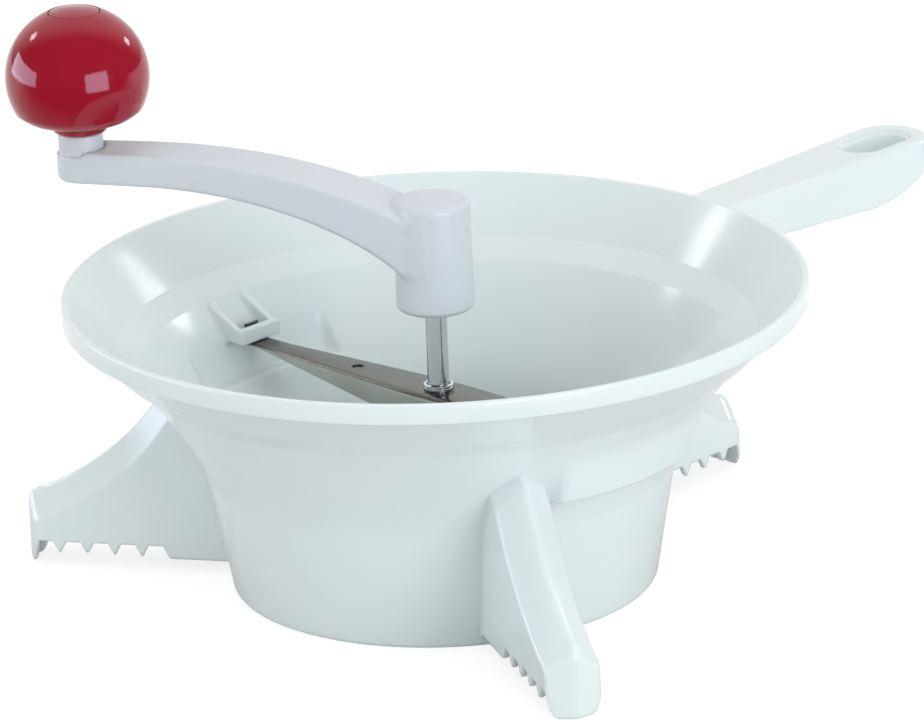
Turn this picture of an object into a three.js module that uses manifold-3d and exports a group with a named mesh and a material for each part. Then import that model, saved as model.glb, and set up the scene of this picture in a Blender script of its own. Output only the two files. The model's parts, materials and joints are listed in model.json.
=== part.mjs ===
// Food mill: a white bowl on three toothed feet, with a handle, a perforated sieve in its bottom,
// a sprung crossbar held under two brackets, and a shaft that carries the passing blade below
// and the crank with its red knob above. Millimetres, +Z up.
// The bowl's axis is vertical, the handle points along +X and the crossbar lies along Y.
import * as THREE from "three";
import { mergeGeometries, mergeVertices } from "three/addons/utils/BufferGeometryUtils.js";
import Module from "manifold-3d";

const wasm = await Module();
wasm.setup();

// Shared clearances
const gap = 0.3; // between two pieces that touch
const runningGap = 0.3; // round the turning and sliding pieces
const overrun = 2; // how far a cutting solid passes the face that it cuts

// Bowl
const rimRadius = 120;
const rimHeight = 99.4;
const rimRound = 0.8;
const rimInset = 1.9; // from the outside to the edge of the mouth
const lipHeight = 6.8;
const lipWidth = 3;
const rimFlare = 15; // from the crease out to the rim
const creaseDepth = 18.9; // of the crease below the rim
const shoulderWidth = 7.5; // of the leaning wall just below the crease
const shoulderHeight = 6;
const funnelWidth = 22; // from the drum out to the shoulder
const funnelDepth = 36.5; // from the shoulder down to the drum
const drumTaper = 6.7; // from its top in to the base
const baseEdge = 2.2;
const bowlWall = 2.2;
const ledgeWidth = 9.8; // of the ring under the sieve
const ledgeThickness = 3;
const funnelStartShare = new THREE.Vector2(0.085, 0.22);
const funnelEndShare = new THREE.Vector2(0.54, 0.66);

// Pockets in the funnel beside the brackets
const pocketDepth = 11.5; // outwards from the top of the drum
const pocketRootDepth = 0.5;
const pocketDraft = 5.5;
const pocketFloorDrop = 14.6; // below the crossbar
const pocketTopDrop = 4.5; // below the shoulder
const pocketHalfAngle = THREE.MathUtils.degToRad(20);
const pocketRampAngle = THREE.MathUtils.degToRad(6);

// Crossbar
const crossbarDepth = 35.8; // of its top below the rim
const crossbarSheet = 1;
const crossbarCatch = 5; // of its ends behind the brackets' bars
const crossbarMiddleWidth = 17.5;
const crossbarEndWidth = 8.4;
const crossbarFlangeDepth = 9.8;
const crossbarFlatShare = 0.12; // of the reach, where the flanges are deepest
const crossbarTabWidth = 6;
const crossbarTabRise = 5.5;
const crossbarHolePlace = 36;
const crossbarHoleRadius = 2;

// Brackets inside the bowl that hold the crossbar down
const bracketWidth = 18;
const bracketWall = 2.5;
const bracketBarInset = 7.4; // from the pocket's outside
const bracketBarThickness = 3;
const bracketBarHeight = 5;
const bracketWallHeight = 16.5; // where the ribs meet the funnel

// Feet
const footAngles = [0, 120, 240].map(THREE.MathUtils.degToRad);
const footOverhang = 19.8; // past the rim
const footHalfWidth = 9;
const footWall = 2.4;
const footStartInset = 5.5; // from the shoulder in to where the foot leaves the funnel
const footStartDrop = 10.5;
const footKneeHeight = 23.5;
const footKneeRound = 5;
const footCrownDrop = 5.5; // from the ridge down to the edge of its arched back
const footCrownDraw = 3.5; // and inwards
const footStartShare = new THREE.Vector2(0.18, 0.42);
const footEndShare = new THREE.Vector2(0.535, 0.765);
const toothTipHeight = 3.8;
const toothHeight = 4.2;
const toothWidth = 4.4;
const toothPitch = 9.3;
const toothCount = 4;
const firstToothInset = 12.2;
const footEdgeInset = 3; // from the outside to the slanted end of the teeth

// Handle
const handleLength = 120; // past the rim
const handleRootHalfWidth = 9.6;
const handleEndHalfWidth = 14;
const handleRootDepth = 12.8;
const handleGripDepth = 18.1;
const handleSweepLength = 36; // of the rising underside at the end
const handleTipThickness = 4.5;
const handleEdge = 2.2;
const handleWall = 2.6;
const handleSolidLength = 44; // of its end past the hollow
const handleRibCount = 3;
const handleRibThickness = 2;
const eyeInset = 21; // from the handle's end
const eyeHalfLength = 13;
const eyeHalfWidth = 6.2;
const eyeRecessMargin = 1.8;
const eyeRecessDepth = 1.2;

// Sieve
const sieveSheet = 1;
const sieveClearance = 0.6; // to the drum's wall
const sieveRimWidth = 5;
const sieveRise = 4.2;
const sieveLandRadius = 12;
const sieveHoleRadius = 1.9;
const sieveFirstRing = 17;
const sieveRingPitch = 8.4;
const sieveHolesPerRing = 6; // more in each ring than in the one inside it

// Shaft
const shaftRadius = 3.5;
const shaftChamfer = 0.6;
const shaftFoot = 2.5; // height of its lower end
const shaftTopCover = 7; // of the hub's material above its upper end

// Blade with its boss and lock ring
const lockRingRadius = 6.5;
const lockRingThickness = 1.3;
const bladeSheet = 1.2;
const bladeHubRadius = 11;
const bladeEdgeGap = 1; // inside the ledge's edge
const bladeArc = THREE.MathUtils.degToRad(215);
const bladeRise = 21;
const bladeRisePower = 1.5; // of the climb along the arc
const bladeGap = 0.6;
const bladeLandRadius = 20; // from here outwards the blade follows the sieve
const bossRadius = 7.5;
const bossHeight = 7.6;

// Spring with its washers
const springWire = 1.5;
const springRadius = 6.1; // to the middle of the wire
const springTurns = 8;
const springStepsPerTurn = 8;
const springWireSides = 5;
const washerRadius = 7.4;
const washerThickness = 1;

// Guide bush in the crossbar
const bushSpigotRadius = 4.6;
const bushSpigotDepth = 3.5;
const bushFlangeRadius = 5.8;
const bushFlangeHeight = 0.7;
const bushLipRadius = 4.6;
const bushHeight = 1.7;

// Crank
const crankAngle = THREE.MathUtils.degToRad(119);
const knobInset = 3.9; // of the knob's axis inside the rim
const hubTopRadius = 12.3;
const hubBottomRadius = 12.6;
const hubSink = 8.4; // of its lower end below the rim
const hubHeight = 37.8;
const hubEdge = 1.6;
const hubDome = 1.7;
const armTipHalfWidth = 8;
const armRootHalfWidth = 12;
const armTipRise = 1.1; // of its level underside above the hub
const armTipThickness = 10.9;
const armRootTopDrop = 4.8; // below the hub's top
const armRootBottomRise = 13; // above the hub's lower end
const armRootPlace = 8;
const armLevelLength = 21.1; // of the level stretch that ends at the knob's axis
const armEdge = 1.5;
const armTopStartShare = new THREE.Vector2(0.23, 0.51);
const armTopEndShare = new THREE.Vector2(0.54, 1);
const armBottomStartShare = new THREE.Vector2(0.16, 0.5);
const armBottomEndShare = new THREE.Vector2(0.54, 1);
const postRadius = 7.3;
const postHeight = 2.9;
const hubPinRadius = 1.5;
const hubPinLength = 16;
const hubPinPlace = 17; // above the hub's lower end

// Knob with its screw, washer and cap
const knobRadius = 23.3;
const knobNeckHeight = 6.6;
const knobNeckTopRadius = 9.9;
const knobNeckRimHeight = 2.6;
const knobNeckRimRadius = 9.4;
const knobNeckBottomRadius = 6.9;
const knobUndersideRadius = 17.5;
const knobShoulderHeight = 8; // above the knob's lower end
const knobCentreHeight = 20.1;
const knobCounterboreRadius = 6.4;
const knobCounterboreDepth = 15;
const knobCapRadius = 8.25;
const knobCapThickness = 2.2;
const knobCapDome = 1.2;
const screwRadius = 3;
const screwHeadRadius = 5.4;
const screwHeadHeight = 3;
const screwGrip = 9; // in the arm
const screwFirstGap = 0.4; // under its head
const knobWasherRadius = 5.8;
const knobWasherThickness = 0.9;

// Counts of flat faces round each kind of piece
const bowlSides = 60;
const plainSides = 32;
const smallSides = 20;
const holeSides = 6;
const knobSides = 32;

// Heights and lengths that follow
const lipBottom = rimHeight - lipHeight;
const creaseRadius = rimRadius - rimFlare;
const creaseHeight = rimHeight - creaseDepth;
const funnelRadius = creaseRadius - shoulderWidth;
const funnelHeight = creaseHeight - shoulderHeight;
const drumTopRadius = funnelRadius - funnelWidth;
const drumHeight = funnelHeight - funnelDepth;
const baseRadius = drumTopRadius - drumTaper;
const ledgeRadius = baseRadius - ledgeWidth;
const crossbarTop = rimHeight - crossbarDepth;
const pocketRadius = drumTopRadius + pocketDepth;
const pocketRootRadius = drumTopRadius + pocketRootDepth;
const pocketFloor = crossbarTop - pocketFloorDrop;
const pocketTop = funnelHeight - pocketTopDrop;
const bracketBottom = crossbarTop + gap;
const bracketBarInner = pocketRadius - bracketBarInset;
const crossbarReach = bracketBarInner + crossbarCatch;
const footReach = rimRadius + footOverhang;
const footStartRadius = funnelRadius - footStartInset;
const footStartHeight = funnelHeight - footStartDrop;
const handleReach = rimRadius + handleLength;
const handleTop = lipBottom - gap;
const handleRootBottom = handleTop - handleRootDepth;
const handleGripBottom = handleTop - handleGripDepth;
const handleHollowEnd = handleReach - handleSolidLength;
const eyePlace = handleReach - eyeInset;
const sieveBottom = ledgeThickness + gap;
const sieveLand = sieveBottom + sieveSheet + sieveRise;
const lockRingBottom = sieveLand + runningGap;
const bladeHubBottom = lockRingBottom + lockRingThickness + gap;
const bossBottom = bladeHubBottom + bladeSheet + gap;
const lowerWasherBottom = bossBottom + bossHeight + runningGap;
const springBottom = lowerWasherBottom + washerThickness + gap;
const upperWasherBottom = crossbarTop - crossbarSheet - gap - washerThickness;
const springTop = upperWasherBottom - gap;
const bladeReach = ledgeRadius - bladeEdgeGap;
const boreRadius = shaftRadius + runningGap;
const hubBottom = rimHeight - hubSink;
const hubTop = hubBottom + hubHeight;
const hubPinHeight = hubBottom + hubPinPlace;
const shaftTop = hubTop - shaftTopCover;
const crankReach = rimRadius - knobInset;
const armLevelPlace = crankReach - armLevelLength;
const armRootTop = hubTop - armRootTopDrop;
const armRootBottom = hubBottom + armRootBottomRise;
const armTipBottom = hubTop + armTipRise;
const armTipTop = armTipBottom + armTipThickness;
const postTop = armTipTop + postHeight;
const knobBottom = postTop + runningGap;
const knobCentre = knobBottom + knobCentreHeight;

// Plain helpers

function point(radius, height) {
  return new THREE.Vector2(radius, height);
}

function polar(radius, angle) {
  return new THREE.Vector2(radius * Math.cos(angle), radius * Math.sin(angle));
}

// A point at given shares of the way from start to end.
function between(start, end, share) {
  return new THREE.Vector2(start.x + (end.x - start.x) * share.x, start.y + (end.y - start.y) * share.y);
}

function sweep(start, startShare, endShare, end, steps) {
  const first = between(start, end, startShare);
  const second = between(start, end, endShare);
  return new THREE.CubicBezierCurve(start, first, second, end).getPoints(steps);
}

function arc(centre, radius, from, to, steps) {
  const angles = Array.from({ length: steps + 1 }, (_, i) => from + ((to - from) * i) / steps);
  return angles.map((angle) => centre.clone().add(polar(radius, angle)));
}

// The line moved to its left by a distance.
function offsetLine(line, distance) {
  return line.map((here, i) => {
    const before = line[Math.max(i - 1, 0)];
    const after = line[Math.min(i + 1, line.length - 1)];
    const entering = here.clone().sub(before).normalize();
    const leaving = after.clone().sub(here).normalize();
    const along = entering.clone().add(leaving).normalize();
    const bend = along.dot(i === 0 ? leaving : entering);
    return new THREE.Vector2(here.x - (along.y * distance) / bend, here.y + (along.x * distance) / bend);
  });
}

// The radius of a rising line at a height.
function radiusAt(line, height) {
  const next = line.findIndex((p) => p.y > height);
  const upper = line[next];
  const lower = line[next - 1];
  return lower.x + ((upper.x - lower.x) * (height - lower.y)) / (upper.y - lower.y);
}

function signedVolume(positions, index) {
  const corner = (i) => new THREE.Vector3().fromArray(positions, index[i] * 3);
  let sum = 0;
  for (let i = 0; i < index.length; i += 3) sum += corner(i).dot(corner(i + 1).cross(corner(i + 2)));
  return sum;
}

// A solid of any closed geometry, with its faces turned outwards.
function solidOf(geometry) {
  const bare = new THREE.BufferGeometry().setAttribute("position", geometry.getAttribute("position"));
  if (geometry.index) bare.setIndex(geometry.index);
  const merged = mergeVertices(bare);
  const positions = merged.attributes.position.array;
  const kept = [];
  for (let i = 0; i < merged.index.count; i += 3) {
    const [a, b, c] = merged.index.array.subarray(i, i + 3);
    if (a !== b && b !== c && c !== a) kept.push(a, b, c);
  }
  if (signedVolume(positions, kept) < 0) kept.reverse();
  return new wasm.Manifold(
    new wasm.Mesh({ numProp: 3, vertProperties: positions, triVerts: new Uint32Array(kept) }),
  );
}

function geometryOf(solid) {
  const mesh = solid.getMesh();
  const geometry = new THREE.BufferGeometry();
  geometry.setAttribute("position", new THREE.BufferAttribute(mesh.vertProperties, mesh.numProp));
  geometry.setIndex(new THREE.BufferAttribute(mesh.triVerts, 1));
  const faceted = geometry.toNonIndexed();
  faceted.computeVertexNormals();
  return faceted;
}

// A solid turned round the Z axis: the outline's ends lie on the axis.
function revolve(outline, sides) {
  return solidOf(new THREE.LatheGeometry(outline, sides).rotateX(Math.PI / 2));
}

// A ring of any closed outline that stays clear of the axis.
function ring(outline, sides) {
  return revolve([...outline, outline[0]], sides);
}

function tube(inner, outer, bottom, top, sides) {
  return ring([point(inner, bottom), point(outer, bottom), point(outer, top), point(inner, top)], sides);
}

function rod(radius, bottom, top, sides) {
  return revolve([point(0, bottom), point(radius, bottom), point(radius, top), point(0, top)], sides);
}

// A solid through equal outlines that lie at rising levels, with flat ends.
function stack(outlines, levels) {
  const count = outlines[0].length;
  const positions = outlines.flatMap((outline, layer) => outline.flatMap((p) => [p.x, p.y, levels[layer]]));
  const index = [];
  for (let layer = 0; layer + 1 < outlines.length; layer++)
    for (let i = 0; i < count; i++) {
      const near = layer * count + i;
      const next = layer * count + ((i + 1) % count);
      index.push(near, next, next + count, near, next + count, near + count);
    }
  const last = (outlines.length - 1) * count;
  for (const [a, b, c] of THREE.ShapeUtils.triangulateShape(outlines[0], [])) index.push(a, c, b);
  for (const [a, b, c] of THREE.ShapeUtils.triangulateShape(outlines.at(-1), []))
    index.push(last + a, last + b, last + c);
  const geometry = new THREE.BufferGeometry();
  geometry.setAttribute("position", new THREE.Float32BufferAttribute(positions, 3));
  geometry.setIndex(index);
  return geometry;
}

function prism(outline, bottom, top) {
  return solidOf(stack([outline, outline], [bottom, top]));
}

// A stack whose outlines are drawn in radius and height, stood up so that its levels lie along Y.
function sideways(geometry) {
  return solidOf(geometry.rotateX(Math.PI / 2));
}

// A prism of such an outline, which reaches a half width to each side of the XZ plane.
function sidePrism(outline, halfWidth) {
  return sideways(stack([outline, outline], [-halfWidth, halfWidth]));
}

function box(fromX, toX, halfWidth, bottom, top) {
  const outline = [point(fromX, bottom), point(toX, bottom), point(toX, top), point(fromX, top)];
  return sidePrism(outline, halfWidth);
}

// A slot's outline along X, with round ends.
function slotOutline(place, halfLength, halfWidth, steps) {
  const straight = halfLength - halfWidth;
  const far = arc(point(place + straight, 0), halfWidth, -Math.PI / 2, Math.PI / 2, steps);
  const near = arc(point(place - straight, 0), halfWidth, Math.PI / 2, (3 * Math.PI) / 2, steps);
  return [...far, ...near];
}

function turned(solid, angle) {
  return solid.rotate([0, 0, THREE.MathUtils.radToDeg(angle)]);
}

// Bowl

const funnelSteps = 7;

function bowlOutside() {
  const funnel = sweep(
    point(drumTopRadius, drumHeight),
    funnelStartShare,
    funnelEndShare,
    point(funnelRadius, funnelHeight),
    funnelSteps,
  );
  const crease = point(creaseRadius, creaseHeight);
  return [point(baseRadius, 0), ...funnel, crease, point(rimRadius - lipWidth, lipBottom)];
}

const outsideLine = bowlOutside();
const wallLine = offsetLine(outsideLine.slice(0, -1), bowlWall);
const insideLine = [...wallLine.slice(1), point(rimRadius - rimInset, rimHeight)];
const sieveWallRadius = radiusAt(wallLine, sieveBottom);

// The bowl's outside as a solid, grown by a margin: what meets the bowl from outside is cut with it.
function bowlBody(margin) {
  const side = offsetLine(outsideLine, -margin);
  const foot = margin ? [point(baseRadius + margin, -overrun)] : [point(baseRadius - baseEdge, 0)];
  const start = margin ? side.slice(1) : [point(baseRadius, baseEdge), ...side.slice(1)];
  return revolve(
    [
      point(0, foot[0].y),
      ...foot,
      ...start,
      point(rimRadius + margin, lipBottom - margin),
      point(rimRadius + margin, rimHeight - rimRound),
      point(rimRadius - rimRound, rimHeight + margin),
      point(0, rimHeight + margin),
    ],
    bowlSides,
  );
}

// The space inside the bowl as a solid, shrunk by a margin: what meets the bowl from inside is cut with it.
function bowlSpace(margin) {
  const side = margin ? offsetLine(insideLine, margin) : insideLine;
  const mouth = rimRadius - rimInset - margin;
  return revolve(
    [
      point(0, -overrun),
      point(ledgeRadius, -overrun),
      point(ledgeRadius, ledgeThickness),
      point(radiusAt(wallLine, ledgeThickness) - margin, ledgeThickness),
      ...side.slice(0, -1),
      point(mouth, rimHeight),
      point(mouth, rimHeight + overrun),
      point(0, rimHeight + overrun),
    ],
    bowlSides,
  );
}

const pocketSteps = 6;

// A pocket's plan: an arc with a slanted ramp at each end.
function pocketPlan(radius, rootRadius) {
  const half = pocketHalfAngle;
  const root = half + pocketRampAngle;
  return [
    point(0, 0),
    polar(rootRadius, -root),
    ...arc(point(0, 0), radius, -half, half, pocketSteps),
    polar(rootRadius, root),
  ];
}

function pocket(shrink, floor, side) {
  const low = pocketPlan(pocketRadius - shrink, pocketRootRadius - shrink);
  const high = pocketPlan(pocketRadius + pocketDraft - shrink, pocketRootRadius + pocketDraft - shrink);
  return turned(solidOf(stack([low, high], [floor, pocketTop])), side);
}

const crossbarAngles = [Math.PI / 2, -Math.PI / 2];

function bowl() {
  let body = bowlBody(0);
  for (const side of crossbarAngles) body = body.add(pocket(0, pocketFloor, side));
  body = body.subtract(bowlSpace(0));
  for (const side of crossbarAngles) body = body.subtract(pocket(bowlWall, pocketFloor + bowlWall, side));
  return body;
}

// The part of the bowl between two heights, a gap short of the part above it.
function bowlBand(whole, bottom, top) {
  return whole.intersect(rod(rimRadius + overrun, bottom, top - gap, bowlSides));
}

// Bracket, drawn with its front bar square to the X axis
function bracket() {
  const top = bracketBottom + bracketBarHeight;
  const wallTop = bracketBottom + bracketWallHeight;
  const barOuter = bracketBarInner + bracketBarThickness;
  const outline = [
    point(bracketBarInner, bracketBottom),
    point(rimRadius, bracketBottom),
    point(rimRadius, wallTop),
    point(radiusAt(outsideLine, wallTop), wallTop),
    point(barOuter, top),
    point(bracketBarInner, top),
  ];
  const block = sidePrism(outline, bracketWidth / 2);
  const hollow = box(
    barOuter,
    rimRadius + overrun,
    bracketWidth / 2 - bracketWall,
    bracketBottom - overrun,
    wallTop + overrun,
  );
  return block.subtract(hollow);
}

function bracketAt(side) {
  return turned(bracket(), side).intersect(bowlSpace(gap));
}

// Foot, drawn along the X axis

const footSteps = 7;
const kneeSteps = 2;
const crownSteps = 6;

// The ridge of the foot, from the funnel over the knee and down to the table.
function footRidge() {
  const corner = point(footReach - footKneeRound, footKneeHeight);
  const top = sweep(point(footStartRadius, footStartHeight), footStartShare, footEndShare, corner, footSteps);
  const centre = point(footReach - footKneeRound, footKneeHeight - footKneeRound);
  const knee = arc(centre, footKneeRound, Math.PI / 2, 0, kneeSteps).slice(1);
  return [...top, ...knee];
}

// The foot as a solid, or the hollow inside it when a wall is given.
function footSolid(wall) {
  const ridge = footRidge().map((p) => point(p.x - wall, p.y - wall));
  const halfWidth = footHalfWidth - wall;
  const bottom = wall ? -overrun : 0;
  const shares = Array.from({ length: crownSteps + 1 }, (_, i) => (2 * i) / crownSteps - 1);
  const outlines = shares.map((share) => {
    const draw = footCrownDraw * share * share;
    const drop = footCrownDrop * share * share;
    const line = ridge.map((p) => point(p.x - draw, p.y - drop));
    const below = [point(line.at(-1).x, bottom), point(ledgeRadius, bottom), point(ledgeRadius, line[0].y)];
    return [...line, ...below].reverse();
  });
  return sideways(stack(outlines, shares.map((share) => share * halfWidth)));
}

// The outline below the foot's toothed edge.
function toothOutline() {
  const rootHeight = toothTipHeight + toothHeight;
  const firstTip = footReach - firstToothInset;
  const tips = Array.from({ length: toothCount }, (_, i) => firstTip - i * toothPitch);
  const flatEnd = tips.at(-1) - toothPitch + toothWidth / 2;
  const half = toothWidth / 2;
  const teeth = tips.flatMap((tip) => [
    point(tip + half, rootHeight),
    point(tip, toothTipHeight),
    point(tip - half, rootHeight),
  ]);
  return [
    point(footReach - footEdgeInset, -overrun),
    point(footReach - footEdgeInset, 0),
    point(firstTip + toothPitch - half, rootHeight),
    ...teeth,
    point(flatEnd, rootHeight),
    point(flatEnd - half, toothTipHeight),
    point(ledgeRadius - overrun, toothTipHeight),
    point(ledgeRadius - overrun, -overrun),
  ];
}

function foot() {
  const below = sidePrism(toothOutline(), footHalfWidth + overrun);
  return footSolid(0).subtract(footSolid(footWall)).subtract(below);
}

// Handle

const handleEndSteps = 8;
const sweepSteps = 6;

// The handle's plan, drawn in by a margin.
function handlePlan(margin) {
  const endRadius = handleEndHalfWidth - margin;
  const centre = point(handleReach - handleEndHalfWidth, 0);
  const root = handleRootHalfWidth - margin;
  return [
    point(creaseRadius - overrun, -root),
    ...arc(centre, endRadius, -Math.PI / 2, Math.PI / 2, handleEndSteps),
    point(creaseRadius - overrun, root),
  ];
}

function handleBlock() {
  const plain = handlePlan(0);
  const drawnIn = handlePlan(handleEdge);
  const levels = [handleGripBottom - overrun, handleTop - handleEdge, handleTop];
  const block = solidOf(stack([plain, plain, drawnIn], levels));
  const rise = new THREE.QuadraticBezierCurve(
    point(handleReach - handleSweepLength, handleGripBottom),
    point(handleReach - handleSweepLength / 2, handleGripBottom),
    point(handleReach, handleTop - handleTipThickness),
  ).getPoints(sweepSteps);
  const side = [
    point(creaseRadius - overrun, handleTop + overrun),
    point(creaseRadius - overrun, handleRootBottom),
    ...rise,
    point(handleReach + overrun, handleTop - handleTipThickness),
    point(handleReach + overrun, handleTop + overrun),
  ];
  return block.intersect(sidePrism(side, handleEndHalfWidth + overrun));
}

function handleHollow() {
  const start = creaseRadius - overrun - overrun;
  const root = handleRootHalfWidth - handleWall;
  const taperLength = handleReach - handleEndHalfWidth - creaseRadius;
  const slope = (handleEndHalfWidth - handleRootHalfWidth) / taperLength;
  const end = root + slope * (handleHollowEnd - creaseRadius);
  const outline = [
    point(start, -root),
    point(handleHollowEnd, -end),
    point(handleHollowEnd, end),
    point(start, root),
  ];
  const bottom = handleGripBottom - overrun;
  let hollow = prism(outline, bottom, handleTop - handleWall);
  const pitch = (handleHollowEnd - rimRadius) / handleRibCount;
  for (let i = 0; i < handleRibCount; i++) {
    const place = rimRadius + i * pitch;
    const rib = box(place, place + handleRibThickness, handleEndHalfWidth, bottom - overrun, handleTop);
    hollow = hollow.subtract(rib);
  }
  return hollow;
}

function handle() {
  const recessHalfLength = eyeHalfLength + eyeRecessMargin;
  const recessHalfWidth = eyeHalfWidth + eyeRecessMargin;
  const eye = slotOutline(eyePlace, eyeHalfLength, eyeHalfWidth, sweepSteps);
  const recess = slotOutline(eyePlace, recessHalfLength, recessHalfWidth, sweepSteps);
  return handleBlock()
    .subtract(handleHollow())
    .subtract(prism(eye, handleGripBottom - overrun, handleTop + overrun))
    .subtract(prism(recess, handleTop - eyeRecessDepth, handleTop + overrun))
    .subtract(bowlBody(gap));
}

// Sieve

// The height of the sieve's upper face at a radius.
function sieveTopAt(radius) {
  const outer = ledgeRadius - sieveRimWidth / 2;
  const share = THREE.MathUtils.clamp((outer - radius) / (outer - sieveLandRadius), 0, 1);
  return sieveBottom + sieveSheet + sieveRise * share;
}

function sieve() {
  const outer = ledgeRadius - sieveRimWidth / 2;
  const edge = sieveWallRadius - sieveClearance;
  const top = [edge, outer, sieveLandRadius].map((radius) => point(radius, sieveTopAt(radius)));
  const outline = [
    point(boreRadius, sieveLand - sieveSheet),
    ...top.map((p) => point(p.x, p.y - sieveSheet)).reverse(),
    ...top,
    point(boreRadius, sieveLand),
  ];
  const plate = ring(outline, bowlSides);
  const ringCount = Math.floor((outer - sieveHoleRadius - sieveFirstRing) / sieveRingPitch) + 1;
  const holes = [];
  for (let i = 0; i < ringCount; i++) {
    const radius = sieveFirstRing + i * sieveRingPitch;
    const count = sieveHolesPerRing * (i + 2);
    const bottom = sieveTopAt(radius) - sieveSheet - overrun;
    const top = sieveTopAt(radius) + overrun;
    for (let k = 0; k < count; k++) {
      const place = polar(radius, (2 * Math.PI * k) / count);
      const outlineOfHole = arc(place, sieveHoleRadius, 0, 2 * Math.PI, holeSides).slice(1);
      holes.push(stack([outlineOfHole, outlineOfHole], [bottom, top]));
    }
  }
  return plate.subtract(solidOf(mergeGeometries(holes)));
}

// Crossbar, with its length along X until it is turned

function crossbarPlan(inset) {
  const middle = crossbarMiddleWidth / 2 - inset;
  const end = crossbarEndWidth / 2 - inset;
  const flat = crossbarReach * crossbarFlatShare;
  return [
    point(crossbarReach, -end),
    point(crossbarReach, end),
    point(flat, middle),
    point(-flat, middle),
    point(-crossbarReach, end),
    point(-crossbarReach, -end),
    point(-flat, -middle),
    point(flat, -middle),
  ];
}

function crossbar() {
  const underside = crossbarTop - crossbarSheet;
  const lowest = crossbarTop - crossbarFlangeDepth;
  const flat = crossbarReach * crossbarFlatShare;
  const flangeEnd = bracketBarInner - overrun;
  const side = [
    point(-crossbarReach - overrun, crossbarTop + overrun),
    point(-crossbarReach - overrun, underside),
    point(-flangeEnd, underside),
    point(-flat, lowest),
    point(flat, lowest),
    point(flangeEnd, underside),
    point(crossbarReach + overrun, underside),
    point(crossbarReach + overrun, crossbarTop + overrun),
  ];
  const channel = prism(crossbarPlan(0), lowest - overrun, crossbarTop)
    .subtract(prism(crossbarPlan(crossbarSheet), lowest - overrun - overrun, underside))
    .intersect(sidePrism(side, crossbarMiddleWidth));
  const hole = (radius, sides) => rod(radius, underside - overrun, crossbarTop + overrun, sides);
  let bar = channel.subtract(hole(bushSpigotRadius + gap, plainSides));
  for (const place of [crossbarHolePlace, -crossbarHolePlace])
    bar = bar.subtract(hole(crossbarHoleRadius, smallSides).translate([place, 0, 0]));
  for (const [from, to] of [
    [crossbarReach - crossbarSheet, crossbarReach],
    [-crossbarReach, crossbarSheet - crossbarReach],
  ])
    bar = bar.add(box(from, to, crossbarTabWidth / 2, underside, crossbarTop + crossbarTabRise));
  return turned(bar, Math.PI / 2);
}

function crossbarBush() {
  const underside = crossbarTop - crossbarSheet;
  const seat = crossbarTop + gap;
  return ring(
    [
      point(boreRadius, underside - bushSpigotDepth),
      point(bushSpigotRadius, underside - bushSpigotDepth),
      point(bushSpigotRadius, seat),
      point(bushFlangeRadius, seat),
      point(bushLipRadius, seat + bushFlangeHeight),
      point(bushLipRadius, seat + bushHeight),
      point(boreRadius, seat + bushHeight),
    ],
    plainSides,
  );
}

// Spring: one wire whose turns rise evenly, its ends cut flat by the wire's own section

class Helix extends THREE.Curve {
  getPoint(share, target = new THREE.Vector3()) {
    const angle = share * springTurns * 2 * Math.PI;
    const low = springBottom + springWire / 2;
    const high = springTop - springWire / 2;
    return target.set(
      springRadius * Math.cos(angle),
      springRadius * Math.sin(angle),
      low + (high - low) * share,
    );
  }
}

function spring() {
  const section = new THREE.Shape(arc(point(0, 0), springWire / 2, 0, 2 * Math.PI, springWireSides).slice(1));
  const wire = new THREE.ExtrudeGeometry(section, {
    steps: springTurns * springStepsPerTurn,
    bevelEnabled: false,
    extrudePath: new Helix(),
  });
  return solidOf(wire);
}

// The least clear distance between one turn of the wire and the next, measured on points of the helix.
function springClearance() {
  const pointsPerTurn = springStepsPerTurn * 4;
  const points = new Helix().getPoints(springTurns * pointsPerTurn);
  const apart = pointsPerTurn / 2;
  let least = Infinity;
  points.forEach((p, i) => {
    for (let k = i + apart; k < points.length; k++) least = Math.min(least, p.distanceTo(points[k]));
  });
  return least - springWire;
}

function springWasher(bore, bottom) {
  return tube(bore, washerRadius, bottom, bottom + washerThickness, plainSides);
}

// Shaft and what turns with it

// A rod across the shaft, along the arm.
function crossRod(radius, length) {
  return rod(radius, -length / 2, length / 2, smallSides)
    .rotate([0, 90, 0])
    .translate([0, 0, hubPinHeight]);
}

function shaft() {
  const narrow = shaftRadius - shaftChamfer;
  const body = revolve(
    [
      point(0, shaftFoot),
      point(narrow, shaftFoot),
      point(shaftRadius, shaftFoot + shaftChamfer),
      point(shaftRadius, shaftTop - shaftChamfer),
      point(narrow, shaftTop),
      point(0, shaftTop),
    ],
    plainSides,
  );
  return turned(body.subtract(crossRod(hubPinRadius + gap, hubPinLength)), crankAngle);
}

function hubPin() {
  return turned(crossRod(hubPinRadius, hubPinLength), crankAngle);
}

function lockRing() {
  return tube(boreRadius, lockRingRadius, lockRingBottom, lockRingBottom + lockRingThickness, plainSides);
}

function boss() {
  return tube(boreRadius, bossRadius, bossBottom, bossBottom + bossHeight, plainSides);
}

const bladeArcSteps = 22;
const bladeReachSteps = 7;

// The blade's underside at a radius and at a share of its arc: flat at the hub, then along the sieve,
// and climbing from the scraping edge to the open end.
function bladeBottomAt(radius, arcShare) {
  const shareOutTo = (end) => THREE.MathUtils.clamp((radius - bladeHubRadius) / (end - bladeHubRadius), 0, 1);
  const landHeight = sieveTopAt(radius) + bladeGap;
  const rest = THREE.MathUtils.lerp(bladeHubBottom, landHeight, shareOutTo(bladeLandRadius));
  return rest + bladeRise * Math.pow(arcShare, bladeRisePower) * Math.sqrt(shareOutTo(bladeReach));
}

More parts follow.
